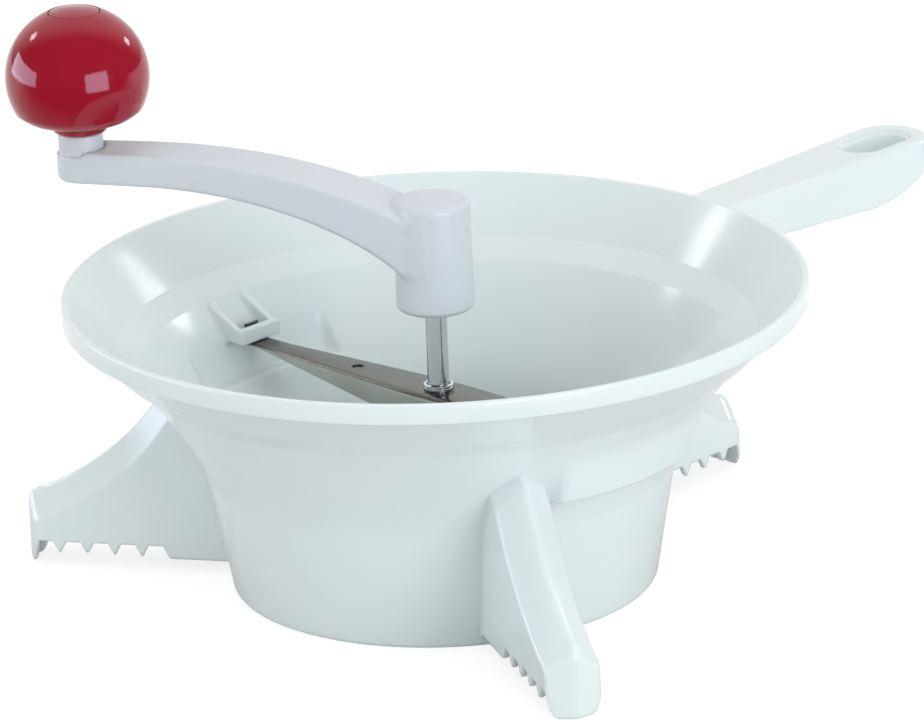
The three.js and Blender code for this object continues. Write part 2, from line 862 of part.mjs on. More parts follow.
function blade() {
  const columns = bladeArcSteps + 1;
  const rows = bladeReachSteps + 1;
  const inner = (boreRadius + bladeHubRadius) / 2;
  const positions = [];
  for (const lift of [0, bladeSheet])
    for (let row = 0; row < rows; row++)
      for (let column = 0; column < columns; column++) {
        const radius = inner + ((bladeReach - inner) * row) / bladeReachSteps;
        const share = column / bladeArcSteps;
        const place = polar(radius, share * bladeArc);
        positions.push(place.x, place.y, bladeBottomAt(radius, share) + lift);
      }
  const at = (layer, row, column) => (layer * rows + row) * columns + column;
  const index = [];
  const quad = (a, b, c, d) => index.push(a, b, c, a, c, d);
  for (let row = 0; row < bladeReachSteps; row++)
    for (let column = 0; column < bladeArcSteps; column++) {
      quad(at(1, row, column), at(1, row + 1, column), at(1, row + 1, column + 1), at(1, row, column + 1));
      quad(at(0, row, column), at(0, row, column + 1), at(0, row + 1, column + 1), at(0, row + 1, column));
    }
  for (let column = 0; column < bladeArcSteps; column++) {
    quad(at(0, 0, column + 1), at(0, 0, column), at(1, 0, column), at(1, 0, column + 1));
    const last = bladeReachSteps;
    quad(at(0, last, column), at(0, last, column + 1), at(1, last, column + 1), at(1, last, column));
  }
  for (let row = 0; row < bladeReachSteps; row++) {
    quad(at(0, row, 0), at(0, row + 1, 0), at(1, row + 1, 0), at(1, row, 0));
    const last = bladeArcSteps;
    quad(at(0, row + 1, last), at(0, row, last), at(1, row, last), at(1, row + 1, last));
  }
  const sheet = new THREE.BufferGeometry();
  sheet.setAttribute("position", new THREE.Float32BufferAttribute(positions, 3));
  sheet.setIndex(index);
  const hub = tube(boreRadius, bladeHubRadius, bladeHubBottom, bladeHubBottom + bladeSheet, plainSides);
  return hub.add(solidOf(sheet));
}

// Crank, drawn with its arm along X

const armSteps = 9;
const armEndSteps = 5;
const lastEndShare = 0.93; // of the round end's quarter turn, where its last section lies

// The height of a line that runs outwards from the hub, at a place along it.
function heightAt(line, place) {
  const next = Math.max(line.findIndex((p) => p.x > place), 1);
  const from = line[next - 1];
  const to = line[next];
  return from.y + ((to.y - from.y) * (place - from.x)) / (to.x - from.x);
}

function armLine(rootHeight, startShare, endShare, tipHeight) {
  const level = point(armLevelPlace, tipHeight);
  const line = sweep(point(armRootPlace, rootHeight), startShare, endShare, level, armSteps);
  return [...line, point(crankReach + armTipHalfWidth, tipHeight)];
}

// A section across the arm: a rectangle with its four edges cut off.
function armSection(halfWidth, bottom, top) {
  const edge = Math.min(armEdge, halfWidth / 2);
  const inner = halfWidth - edge;
  return [
    point(-inner, bottom),
    point(inner, bottom),
    point(halfWidth, bottom + edge),
    point(halfWidth, top - edge),
    point(inner, top),
    point(-inner, top),
    point(-halfWidth, top - edge),
    point(-halfWidth, bottom + edge),
  ];
}

function armSolid() {
  const top = armLine(armRootTop, armTopStartShare, armTopEndShare, armTipTop);
  const bottom = armLine(armRootBottom, armBottomStartShare, armBottomEndShare, armTipBottom);
  const along = top.slice(0, armSteps + 1).map((p) => p.x);
  const straight = [0, ...along, crankReach];
  const widths = straight.map((place) =>
    THREE.MathUtils.lerp(armRootHalfWidth, armTipHalfWidth, place / crankReach),
  );
  for (let i = 1; i <= armEndSteps; i++) {
    const end = polar(armTipHalfWidth, (i / armEndSteps) * lastEndShare * (Math.PI / 2));
    straight.push(crankReach + end.y);
    widths.push(end.x);
  }
  const outlines = straight.map((place, i) => {
    return armSection(widths[i], heightAt(bottom, place), heightAt(top, place));
  });
  // The sections lie across Z: their height turns up and their length turns to X.
  return solidOf(stack(outlines, straight).rotateX(Math.PI / 2).rotateZ(Math.PI / 2));
}

function crankArm() {
  const hub = revolve(
    [
      point(0, hubBottom),
      point(hubBottomRadius - hubEdge, hubBottom),
      point(hubBottomRadius, hubBottom + hubEdge),
      point(hubTopRadius, hubTop - hubDome - hubEdge),
      point(hubTopRadius - hubEdge, hubTop - hubDome),
      point(hubTopRadius / 2, hubTop - hubDome / 4),
      point(0, hubTop),
    ],
    knobSides,
  );
  const post = rod(postRadius, armTipTop - overrun, postTop, plainSides).translate([crankReach, 0, 0]);
  const bore = rod(boreRadius, hubBottom - overrun, shaftTop + gap, plainSides);
  const pinRoom = crossRod(hubPinRadius + gap, hubPinLength + 2 * gap);
  const screwRoom = rod(screwRadius + gap, armTipTop - screwGrip - gap, postTop + overrun, smallSides);
  const body = hub
    .add(armSolid())
    .add(post)
    .subtract(bore)
    .subtract(pinRoom)
    .subtract(screwRoom.translate([crankReach, 0, 0]));
  return turned(body, crankAngle);
}

// Knob and what it turns on, drawn on the Z axis and then moved out to the arm's end

const counterboreFloor = knobCentre + knobRadius - knobCounterboreDepth;
const knobWasherBottom = counterboreFloor + gap;
const screwHeadBottom = knobWasherBottom + knobWasherThickness + screwFirstGap;
const knobArcSteps = 12;

function atArmEnd(solid) {
  const place = polar(crankReach, crankAngle);
  return solid.translate([place.x, place.y, 0]);
}

function knob() {
  const centre = point(0, knobCentre);
  const shoulderTop = knobBottom + knobShoulderHeight;
  const low = Math.asin((shoulderTop - knobCentre) / knobRadius);
  const seatRadius = knobCapRadius + gap;
  const high = Math.acos(seatRadius / knobRadius);
  const ball = arc(centre, knobRadius, low, high, knobArcSteps);
  const capSeat = knobCentre + knobRadius * Math.sin(high) - knobCapThickness;
  return atArmEnd(
    ring(
      [
        point(screwRadius + runningGap, knobBottom),
        point(knobNeckBottomRadius, knobBottom),
        point(knobNeckRimRadius, knobBottom + knobNeckRimHeight),
        point(knobNeckTopRadius, knobBottom + knobNeckHeight),
        point(knobUndersideRadius, knobBottom + knobNeckHeight),
        ...ball,
        point(seatRadius, capSeat),
        point(knobCounterboreRadius, capSeat),
        point(knobCounterboreRadius, counterboreFloor),
        point(screwRadius + runningGap, counterboreFloor),
      ],
      knobSides,
    ),
  );
}

function knobCap() {
  const seatRadius = knobCapRadius + gap;
  const top = knobCentre + Math.sqrt(knobRadius ** 2 - seatRadius ** 2);
  const bottom = top - knobCapThickness + gap;
  return atArmEnd(
    revolve(
      [
        point(0, bottom),
        point(knobCapRadius, bottom),
        point(knobCapRadius, top),
        point(knobCapRadius / 2, top + (3 * knobCapDome) / 4),
        point(0, top + knobCapDome),
      ],
      plainSides,
    ),
  );
}

function knobWasher() {
  return atArmEnd(
    tube(
      screwRadius + runningGap,
      knobWasherRadius,
      knobWasherBottom,
      knobWasherBottom + knobWasherThickness,
      smallSides,
    ),
  );
}

function knobScrew() {
  const foot = armTipTop - screwGrip;
  return atArmEnd(
    revolve(
      [
        point(0, foot),
        point(screwRadius, foot),
        point(screwRadius, screwHeadBottom),
        point(screwHeadRadius, screwHeadBottom),
        point(screwHeadRadius, screwHeadBottom + screwHeadHeight),
        point(0, screwHeadBottom + screwHeadHeight),
      ],
      smallSides,
    ),
  );
}

// Materials, each with the real finish's colour

function finish(color, roughness, metalness) {
  return new THREE.MeshStandardMaterial({ color, roughness, metalness });
}

const whitePlastic = finish(0xe9f0ee, 0.3, 0);
const crankPlastic = finish(0xdfe2ec, 0.35, 0);
const redPlastic = finish(0xa31224, 0.18, 0);
const brushedSteel = finish(0x8f8a80, 0.35, 1);
const brightSteel = finish(0xc8ccd0, 0.12, 1);
const springSteel = finish(0x9a9ca0, 0.3, 1);

// Assembly

const assembly = new THREE.Group();

function addPiece(name, solid, material) {
  const mesh = new THREE.Mesh(geometryOf(solid), material);
  mesh.name = name;
  assembly.add(mesh);
}

const wholeBowl = bowl();
addPiece("bowl_drum", bowlBand(wholeBowl, 0, drumHeight), whitePlastic);
addPiece("bowl_funnel", bowlBand(wholeBowl, drumHeight, creaseHeight), whitePlastic);
addPiece("bowl_rim", bowlBand(wholeBowl, creaseHeight, rimHeight + overrun), whitePlastic);
addPiece("handle", handle(), whitePlastic);
let outsideOfBowl = bowlBody(gap);
for (const side of crossbarAngles) outsideOfBowl = outsideOfBowl.add(pocket(-gap, pocketFloor - gap, side));
const footBlank = foot();
["foot_handle_side", "foot_left", "foot_front"].forEach((name, i) => {
  const blank = turned(footBlank, footAngles[i]);
  addPiece(name, blank.subtract(outsideOfBowl), whitePlastic);
});
["bracket_left", "bracket_right"].forEach((name, i) => {
  addPiece(name, bracketAt(crossbarAngles[i]), whitePlastic);
});
addPiece("sieve_disc", sieve(), brushedSteel);
addPiece("crossbar", crossbar(), brushedSteel);
addPiece("crossbar_bush", crossbarBush(), brightSteel);
addPiece("upper_spring_washer", springWasher(bushSpigotRadius + gap, upperWasherBottom), brightSteel);
addPiece("spring", spring(), springSteel);
addPiece("lower_spring_washer", springWasher(boreRadius, lowerWasherBottom), brightSteel);
addPiece("shaft", shaft(), brightSteel);
addPiece("shaft_pin", hubPin(), brightSteel);
addPiece("blade", blade(), brushedSteel);
addPiece("blade_boss", boss(), brightSteel);
addPiece("blade_lock_ring", lockRing(), springSteel);
addPiece("crank_arm", crankArm(), crankPlastic);
addPiece("knob_screw", knobScrew(), brightSteel);
addPiece("knob_washer", knobWasher(), brightSteel);
addPiece("knob", knob(), redPlastic);
addPiece("knob_cap", knobCap(), redPlastic);

console.log("least gap between the spring's turns: " + springClearance().toFixed(2) + " mm");

// The origin is the middle of the whole mill's box, on the table.
const extent = new THREE.Box3().setFromObject(assembly);
const middle = extent.getCenter(new THREE.Vector3());
assembly.position.set(-middle.x, -middle.y, -extent.min.z);

const mill = new THREE.Group();
mill.add(assembly);

export default mill;
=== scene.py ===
# %% [markdown]
# # A food mill, dressed for its picture
# The mill is a white moulded bowl on three toothed feet, with a handle, a steel crossbar, a sprung
# blade over a perforated sieve, and a crank with a red knob. The imported model gives every piece its
# place, its size and the body that it moves with. This script gives the pieces their looks: rounder
# surfaces where the imported solids are faceted, and materials with the grain of the real ones.
# The frame is loaded first.

import json
import math
from functools import partial

import bpy
import numpy as np
from mathutils import Matrix, Vector


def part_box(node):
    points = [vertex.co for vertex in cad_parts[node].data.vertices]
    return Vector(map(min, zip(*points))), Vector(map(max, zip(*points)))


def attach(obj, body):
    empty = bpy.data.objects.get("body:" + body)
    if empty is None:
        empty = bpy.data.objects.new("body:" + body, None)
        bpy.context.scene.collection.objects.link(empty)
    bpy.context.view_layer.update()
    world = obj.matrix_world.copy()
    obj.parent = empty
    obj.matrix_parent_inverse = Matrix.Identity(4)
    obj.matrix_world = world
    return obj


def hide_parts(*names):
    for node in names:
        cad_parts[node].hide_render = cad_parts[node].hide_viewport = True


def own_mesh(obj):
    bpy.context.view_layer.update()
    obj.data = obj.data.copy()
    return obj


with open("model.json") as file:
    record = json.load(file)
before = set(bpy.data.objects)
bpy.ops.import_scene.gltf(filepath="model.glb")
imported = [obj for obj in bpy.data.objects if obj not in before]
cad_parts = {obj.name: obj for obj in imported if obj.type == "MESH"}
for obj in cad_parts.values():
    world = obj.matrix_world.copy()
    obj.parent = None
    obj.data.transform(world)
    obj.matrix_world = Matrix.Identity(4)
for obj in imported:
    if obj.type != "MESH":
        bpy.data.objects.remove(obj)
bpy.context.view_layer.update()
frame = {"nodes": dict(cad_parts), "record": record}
shaft_low, shaft_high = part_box("shaft")
axis_x = (shaft_low[0] + shaft_high[0]) / 2
axis_y = (shaft_low[1] + shaft_high[1]) / 2
MM = 0.001
print("bowl's axis at", round(axis_x, 5), round(axis_y, 5))


# %% [markdown]
# ## The view
# The photograph was taken with a long lens from a little above the rim. Its camera was solved from
# the ellipses of the rim, the mouth and the base, so it is written here as a distance, an elevation,
# a turn round the bowl and a slight roll. Directions are first given as the camera's owner would:
# to the right, away and up, from the bowl's axis, and then turned into the frame.

# %% Camera
view_turn = math.radians(46.4)
camera_distance = 2.43085
camera_elevation = math.radians(18.75)
camera_roll = math.radians(-2.16)
camera_target = Vector((0.00778, 0.0, 0.07215))
sensor_width = 36.0
focal_pixels = 7553.6
picture_width = 924


def from_view(right, away, up):
    """A place given to the right, away and up from the bowl's axis, in the frame."""
    x = right * math.cos(view_turn) + away * math.sin(view_turn)
    y = -right * math.sin(view_turn) + away * math.cos(view_turn)
    return Vector((axis_x + x, axis_y + y, up))


def view_direction(right, away, up):
    return from_view(right, away, up) - from_view(0, 0, 0)


sine, cosine = math.sin(camera_elevation), math.cos(camera_elevation)
level_right, level_up = Vector((1, 0, 0)), Vector((0, sine, cosine))
image_right = math.cos(camera_roll) * level_right + math.sin(camera_roll) * level_up
image_up = math.cos(camera_roll) * level_up - math.sin(camera_roll) * level_right
place = camera_target + camera_distance * Vector((0, -cosine, sine))

camera_data = bpy.data.cameras.new("camera")
camera_data.sensor_width = sensor_width
camera_data.sensor_fit = "HORIZONTAL"
camera_data.lens = focal_pixels / picture_width * sensor_width
camera_data.clip_end = 50.0
camera = bpy.data.objects.new("camera", camera_data)
bpy.context.scene.collection.objects.link(camera)
columns = [view_direction(*image_right), view_direction(*image_up), view_direction(0, -cosine, sine)]
turn = Matrix(columns).transposed()
camera.matrix_world = Matrix.Translation(from_view(*place)) @ turn.to_4x4()
bpy.context.scene.camera = camera
print("lens", round(camera_data.lens, 1), "mm, camera at", [round(c, 3) for c in camera.location])


# %% [markdown]
# ## Floor, background and lamps
# The picture is a catalogue shot: a white ground, large soft lamps, and no horizon. A white ground
# could be had by flooding the scene with light, but then the pale plastic would burn out. Instead the
# world and the floor are white only to the rays that leave the camera or that bounce off gloss, and
# the lamps stay at a plain level. The floor keeps a part of its ordinary shading, so the mill's
# shadow still falls on it.

# %% Helpers for shader nodes
def feed(tree, node, into, value):
    """Gives an input a value, or links it to a (node, output) pair."""
    if isinstance(value, tuple) and isinstance(value[0], bpy.types.Node):
        tree.links.new(value[0].outputs[value[1]], node.inputs[into])
    elif value is not None:
        node.inputs[into].default_value = value


def add_node(tree, kind, *inputs, **settings):
    """A node. Its inputs come in order, or by name with spaces turned to underscores."""
    node = tree.nodes.new(kind)
    for name, value in settings.items():
        if hasattr(node, name):
            setattr(node, name, value)
        else:
            feed(tree, node, name.replace("_", " "), value)
    for i, value in enumerate(inputs):
        feed(tree, node, i, value)
    return node


def maths(tree, operation, first, second=None):
    return add_node(tree, "ShaderNodeMath", first, second, operation=operation), 0


def map_to(tree, value, low, high, from_low=0.3, from_high=0.7, **settings):
    """A value that runs from one low and high, mapped to run from another."""
    ends = {"From_Min": from_low, "From_Max": from_high, "To_Min": low, "To_Max": high}
    return add_node(tree, "ShaderNodeMapRange", value, **ends, **settings), 0


def empty_tree(owner):
    owner.use_nodes = True
    owner.node_tree.nodes.clear()
    return owner.node_tree


# %% World
room_light, white = 0.76, (1.0, 1.0, 1.0, 1.0)
bright_side = view_direction(0, 0.773, 0.634)
world = bpy.data.worlds.new("white_studio")
bpy.context.scene.world = world
tree = empty_tree(world)
rays = add_node(tree, "ShaderNodeLightPath")
direction = add_node(tree, "ShaderNodeTexCoord")
facing = add_node(tree, "ShaderNodeVectorMath", (direction, "Generated"), bright_side, operation="DOT_PRODUCT")
gloss = map_to(tree, (facing, "Value"), 0.12, 1.0, 0.42, 0.85, interpolation_type="SMOOTHSTEP")
straight = maths(tree, "MAXIMUM", (rays, "Is Camera Ray"), (rays, "Is Transmission Ray"))
by_gloss = add_node(tree, "ShaderNodeMix", (rays, "Is Glossy Ray"), None, room_light, gloss, data_type="FLOAT")
strength = add_node(tree, "ShaderNodeMix", straight, None, (by_gloss, 0), 1.0, data_type="FLOAT")
sky = add_node(tree, "ShaderNodeBackground", Color=white, Strength=(strength, 0))
add_node(tree, "ShaderNodeOutputWorld", Surface=(sky, 0))
print("world:", room_light, "for diffuse light, white for the camera")

# %% Floor
floor_half, floor_glow, floor_shade, plain_grey = 6.0, 0.8, 0.3, (0.8, 0.8, 0.8, 1.0)
floor_mesh = bpy.data.meshes.new("floor")
corners = [(x * floor_half, y * floor_half, 0) for x, y in ((-1, -1), (1, -1), (1, 1), (-1, 1))]
floor_mesh.from_pydata(corners, [], [(0, 1, 2, 3)])
floor = bpy.data.objects.new("floor", floor_mesh)
bpy.context.scene.collection.objects.link(floor)
floor_material = bpy.data.materials.new("white_ground")
tree = empty_tree(floor_material)
rays = add_node(tree, "ShaderNodeLightPath")
straight = maths(tree, "MAXIMUM", (rays, "Is Camera Ray"), (rays, "Is Transmission Ray"))
seen = maths(tree, "MAXIMUM", straight, (rays, "Is Glossy Ray"))
spot = add_node(tree, "ShaderNodeTexCoord")
away = view_direction(0, 1, 0)
depth = add_node(tree, "ShaderNodeVectorMath", (spot, "Object"), away, operation="DOT_PRODUCT")
far_side = map_to(tree, (depth, "Value"), 0.06, 1.0, -0.3, 0.25, interpolation_type="SMOOTHSTEP")
level = maths(tree, "MAXIMUM", far_side, straight)
glow = add_node(tree, "ShaderNodeEmission", Color=white, Strength=maths(tree, "MULTIPLY", level, floor_glow))
shaded = add_node(tree, "ShaderNodeBsdfDiffuse", Color=maths(tree, "MULTIPLY", level, floor_shade))
plain = add_node(tree, "ShaderNodeBsdfDiffuse", Color=plain_grey)
both = add_node(tree, "ShaderNodeAddShader", (glow, 0), (shaded, 0))
mix = add_node(tree, "ShaderNodeMixShader", seen, (plain, 0), (both, 0))
add_node(tree, "ShaderNodeOutputMaterial", Surface=(mix, 0))
floor_mesh.materials.append(floor_material)


# %% Lamps
aim_height = 0.08


def softbox(name, gloss, place, size, watts, aim=(0.0, 0.0, aim_height), tint=(0.92, 0.96, 1.0)):
    """A lamp placed as the camera sees it and turned to its aim, for gloss alone or for all but gloss."""
    data = bpy.data.lights.new(name, "AREA")
    data.shape = "RECTANGLE"
    data.size, data.size_y = size
    data.energy = watts
    data.color = tint
    lamp = bpy.data.objects.new(name, data)
    bpy.context.scene.collection.objects.link(lamp)
    where = from_view(*place)
    facing = (from_view(*aim) - where).to_track_quat("-Z", "Y")
    lamp.matrix_world = Matrix.Translation(where) @ facing.to_matrix().to_4x4()
    lamp.visible_glossy = gloss
    lamp.visible_diffuse = not gloss
    lamp.visible_camera = False


def lamp_place(azimuth, elevation, distance=2.0):
    """A place at angles in degrees: to the right of the camera's side, and up from the table."""
    a, e = math.radians(azimuth), math.radians(elevation)
    level, height = distance * math.cos(e), distance * math.sin(e) + aim_height
    return (level * math.sin(a), -level * math.cos(a), height)


knob_place, sky_tint = (-0.112, 0.029, 0.164), (0.7, 0.78, 1.0)
softbox("right_softbox", False, lamp_place(42, 15), (1.1, 1.1), 14.0)
softbox("left_softbox", False, lamp_place(-75, 16), (1.1, 1.1), 5.0)
softbox("top_softbox", False, lamp_place(-20, 75), (0.8, 0.8), 3.0)
softbox("right_window", True, (0.349, -0.668, 0.215), (0.56, 0.43), 3.6, knob_place, sky_tint)
softbox("left_window", True, lamp_place(-97, 0.5, 1.6), (1.7, 0.9), 22.0, knob_place, sky_tint)
softbox("far_right_window", True, lamp_place(130, 25, 1.6), (0.24, 0.18), 1.1)
softbox("far_left_window", True, lamp_place(-122, 34, 1.6), (0.24, 0.18), 1.1)
bpy.context.scene.view_settings.view_transform = "Standard"


# %% [markdown]
# ## Finishes
# Every finish is built from noise on Object coordinates, so that it sticks to its piece in any pose.
# Moulded plastic isn't one flat colour: it has slow drifts in tint, a very fine orange peel, gentle
# waves where it shrank in the mould, and hair-fine scuffs from washing up. All four are small, and
# the last three work through roughness and bump rather than colour.

# %% Moulded plastic
def start_material(name):
    """A material with a shader, and the coordinates that its noise lies on."""
    material = bpy.data.materials.new(name)
    tree = empty_tree(material)
    shader = add_node(tree, "ShaderNodeBsdfPrincipled")
    add_node(tree, "ShaderNodeOutputMaterial", Surface=(shader, "BSDF"))
    return material, tree, shader, (add_node(tree, "ShaderNodeTexCoord"), "Object")


def noise_on(tree, spots, scale, detail, stretch=(1.0, 1.0, 1.0), turn=(0.0, 0.0, 0.0)):
    """Noise whose grains are about 1 / scale metres across, longer where stretch is small."""
    mapping = add_node(tree, "ShaderNodeMapping", Vector=spots, Scale=stretch, Rotation=turn)
    return add_node(tree, "ShaderNodeTexNoise", Vector=(mapping, 0), Scale=scale, Detail=detail), 0


def blend(tree, factor, first, second):
    """Two colours, or links to them, mixed by a factor."""
    mix = add_node(tree, "ShaderNodeMix", factor, data_type="RGBA")
    for into, colour in ((6, first), (7, second)):
        feed(tree, mix, into, colour if len(colour) == 2 else (*colour, 1.0))
    return mix, 2


def drifting(tree, spots, scale, detail, colour, drift, stretch=(1.0, 1.0, 1.0)):
    """A colour that drifts to another in soft clouds."""
    clouds = noise_on(tree, spots, scale, detail, stretch)
    return blend(tree, map_to(tree, clouds, 0.0, 1.0), colour, drift)


def add_bump(tree, shader, *layers):
    """Bumps laid over each other. A layer is a height and its depth in metres."""
    normal = None
    for height, depth in layers:
        bump = add_node(tree, "ShaderNodeBump", Strength=1.0, Distance=depth, Height=height, Normal=normal)
        normal = (bump, 0)
    feed(tree, shader, "Normal", normal)


def moulded_plastic(name, colour, drift, roughness, waves, scatter=0.0):
    """Plastic of two tints, with a range of roughness, waves of a depth in metres and a share of scatter."""
    material, tree, shader, spots = start_material(name)
    feed(tree, shader, "Base Color", drifting(tree, spots, 11.0, 3.0, colour, drift))
    dull = map_to(tree, noise_on(tree, spots, 70.0, 4.0), *roughness)
    scuffs = noise_on(tree, spots, 420.0, 2.0, (1.0, 0.05, 0.3), (0.3, 0.2, 0.7))
    feed(tree, shader, "Roughness", maths(tree, "ADD", dull, map_to(tree, scuffs, 0.0, 0.05, 0.62, 0.72)))
    wave, peel = noise_on(tree, spots, 34.0, 1.0), noise_on(tree, spots, 1500.0, 2.0)
    add_bump(tree, shader, (wave, waves), (peel, 0.000012))
    feed(tree, shader, "IOR", 1.5)
    if scatter:
        feed(tree, shader, "Subsurface Weight", scatter)
        feed(tree, shader, "Subsurface Radius", (0.006, 0.006, 0.006))
        feed(tree, shader, "Subsurface Scale", 0.6)
    return material


white_plastic = moulded_plastic(
    "white_plastic", (0.765, 0.85, 0.85), (0.80, 0.865, 0.865), (0.13, 0.21), waves=0.0006, scatter=0.15
)
crank_plastic = moulded_plastic(
    "crank_plastic", (0.64, 0.685, 0.735), (0.66, 0.70, 0.75), (0.26, 0.36), waves=0.00005
)
red_plastic = moulded_plastic(
    "red_plastic", (0.32, 0.005, 0.02), (0.35, 0.006, 0.026), (0.05, 0.10), waves=0.00004
)
print("plastics:", white_plastic.name, crank_plastic.name, red_plastic.name)


# %% [markdown]
# Steel comes in three finishes. The crossbar, blade and sieve are cut from rolled sheet, so fine lines
# run along the sheet and it has slightly darker patches. The crossbar's sheet is the darker one, and it
# is painted by height: its flat top is painted dark, as painted shade, and its flanges keep a lighter
# colour that stands in for a painted reflection. The shaft, bush, boss and washers are turned on a
# lathe and polished: their lines run round the axis, which is noise squeezed hard along Z. The spring
# and its lock ring are drawn wire, duller, with a coarser grain.

# %% Steel
def with_painted_shade_top(tree, spots, base_colour, start, full, painted_top, painted_top_drift):
    """The base colour below a height, and above it a darker colour painted on as painted shade."""
    height = add_node(tree, "ShaderNodeSeparateXYZ", spots), "Z"
    shaded_top = drifting(tree, spots, 30.0, 3.0, painted_top, painted_top_drift, (1.0, 0.4, 1.0))
    return blend(tree, map_to(tree, height, 0.0, 1.0, start, full), base_colour, shaded_top)


def steel(name, colour, drift, roughness, line_stretch, line_depth, line_scale, painted_top=None):
    material, tree, shader, spots = start_material(name)
    feed(tree, shader, "Metallic", 1.0)
    base_colour = drifting(tree, spots, 45.0, 4.0, colour, drift)
    # With a painted top, the colour above a height is painted dark, as painted shade.
    feed(tree, shader, "Base Color", with_painted_shade_top(tree, spots, base_colour, *painted_top) if painted_top else base_colour)
    lines = noise_on(tree, spots, line_scale, 3.0, line_stretch)
    feed(tree, shader, "Roughness", map_to(tree, lines, *roughness))
    add_bump(tree, shader, (lines, line_depth))
    return material


bar_lines, plate_lines = (1.0, 0.02, 1.0), (1.0, 0.02, 0.3)
lathe_lines, no_lines = (0.04, 0.04, 1.0), (1.0, 1.0, 1.0)
rolled, polished, drawn = 0.000004, 0.000003, 0.000008
# The crossbar's top, above about 63 mm, is painted dark as painted shade; its lighter flanges stand in for a
# painted reflection.
rolled_steel = steel(
    "rolled_steel", (0.53, 0.525, 0.48), (0.43, 0.42, 0.38), (0.17, 0.27), bar_lines, rolled, 2400.0,
    painted_top=(0.0627, 0.0632, (0.17, 0.168, 0.153), (0.13, 0.127, 0.114)),
)
sheet_steel = steel(
    "sheet_steel", (0.56, 0.555, 0.54), (0.50, 0.49, 0.47), (0.2, 0.3), plate_lines, rolled, 2600.0
)
bright_steel = steel(
    "bright_steel", (0.72, 0.73, 0.75), (0.66, 0.67, 0.69), (0.05, 0.13), lathe_lines, polished, 2500.0
)
wire_steel = steel(
    "wire_steel", (0.42, 0.42, 0.43), (0.3, 0.3, 0.31), (0.24, 0.4), no_lines, drawn, 1600.0
)
slot_materials = {
    "white_plastic": white_plastic,
    "crank_plastic": crank_plastic,
    "red_plastic": red_plastic,
    "brushed_steel": rolled_steel,
    "bright_steel": bright_steel,
    "spring_steel": wire_steel,
}
slots = {material.name: slot for slot, material in slot_materials.items()}
slots[sheet_steel.name] = "brushed_steel"
print("steels:", rolled_steel.name, sheet_steel.name, bright_steel.name, wire_steel.name)


# %% [markdown]
# ## Helpers for shapes
# All the shapes below are worked out in millimetres from the bowl's axis, the way they were measured.
# One helper turns such points into a finished piece: its mesh is placed in the frame in metres, its
# object stays at the origin, it takes its material and smooth shading, it is parented to the empty of
# the body that it rides on, and the imported nodes that it stands for are hidden.

# %% A piece from points and faces
import bmesh


def mesh_object(name, points, faces, merge=0.0005):
    """An object of points in millimetres from the bowl's axis. Merging turns its faces outwards."""
    mesh = bpy.data.meshes.new(name)
    placed = np.asarray(points, dtype=float) * MM + np.array([axis_x, axis_y, 0.0])
    mesh.from_pydata(placed.tolist(), [], [tuple(int(i) for i in face) for face in faces])
    if merge:
        work = bmesh.new()
        work.from_mesh(mesh)
        bmesh.ops.remove_doubles(work, verts=work.verts, dist=merge * MM)
        bmesh.ops.recalc_face_normals(work, faces=work.faces)
        work.to_mesh(mesh)
        work.free()
    item = bpy.data.objects.new(name, mesh)
    bpy.context.scene.collection.objects.link(item)
    return item


def finish_piece(piece, material, body, *nodes):
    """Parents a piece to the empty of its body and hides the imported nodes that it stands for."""
    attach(piece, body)
    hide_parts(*nodes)
    print(piece.name, len(piece.data.polygons), "faces, rides on", body)


def piece_from(name, points, faces, material, body, *nodes, merge=0.0):
    piece = mesh_object(name, points, faces, merge)
    piece.data.polygons.foreach_set("use_smooth", [True] * len(piece.data.polygons))
    piece.data.materials.append(material)
    piece.data.update()
    finish_piece(piece, material, body, *nodes)


# %% [markdown]
# Turned pieces are outlines spun round an axis. A sharp corner in an outline would catch no light, so
# a second helper first rounds chosen corners with a small arc, as a lathe tool or a mould would.

# %% Rounded outlines and spun pieces
def arc_points(centre, radius, start, end, steps):
    angles = np.linspace(start, end, steps + 1)
    return [(centre[0] + radius * math.cos(a), centre[1] + radius * math.sin(a)) for a in angles]


def bezier_points(start, first, second, end, steps):
    t = np.linspace(0, 1, steps + 1)[:, None]
    start, first, second, end = (np.asarray(p, dtype=float) for p in (start, first, second, end))
    line = (1 - t) ** 3 * start + 3 * (1 - t) ** 2 * t * first + 3 * (1 - t) * t**2 * second + t**3 * end
    return [tuple(p) for p in line]


def share_point(start, end, shares):
    return (start[0] + (end[0] - start[0]) * shares[0], start[1] + (end[1] - start[1]) * shares[1])


def rounded(corners, steps=5):
    """An outline through corners (x, y, radius), each cut off by an arc of about that radius."""
    out = []
    places = [np.array(corner[:2], dtype=float) for corner in corners]
    for i, (here, corner) in enumerate(zip(places, corners)):
        if len(corner) < 3:
            out.append(tuple(here))
            continue
        back, onward = places[i - 1] - here, places[(i + 1) % len(places)] - here
        long_back, long_on = np.linalg.norm(back), np.linalg.norm(onward)
        back, onward = back / long_back, onward / long_on
        half = math.acos(max(-1.0, min(1.0, float(back @ onward)))) / 2
        reach = min(corner[2] / max(math.tan(half), 1e-6), 0.48 * long_back, 0.48 * long_on)
        start, end = here + back * reach, here + onward * reach
        for t in np.linspace(0, 1, steps + 1):
            out.append(tuple((1 - t) ** 2 * start + 2 * (1 - t) * t * here + t**2 * end))
    return out


def spin(outline, sides, centre=(0.0, 0.0)):
    """Points and faces of a closed outline in (radius, height), turned once round an axis."""
    points, ids = [], []
    for i in range(sides):
        angle = 2 * math.pi * i / sides
        row = []
        for k, (radius, height) in enumerate(outline):
            if radius < 1e-9 and i:
                row.append(ids[0][k])
                continue
            points.append((centre[0] + radius * math.cos(angle), centre[1] + radius * math.sin(angle), height))
            row.append(len(points) - 1)
        ids.append(row)
    faces = []
    for i in range(sides):
        near, far = ids[i], ids[(i + 1) % sides]
        for k in range(len(outline)):
            n = (k + 1) % len(outline)
            face = [near[k], far[k], far[n], near[n]]
            face = [v for j, v in enumerate(face) if v != face[j - 1]]
            if len(set(face)) > 2:
                faces.append(face)
    return points, faces


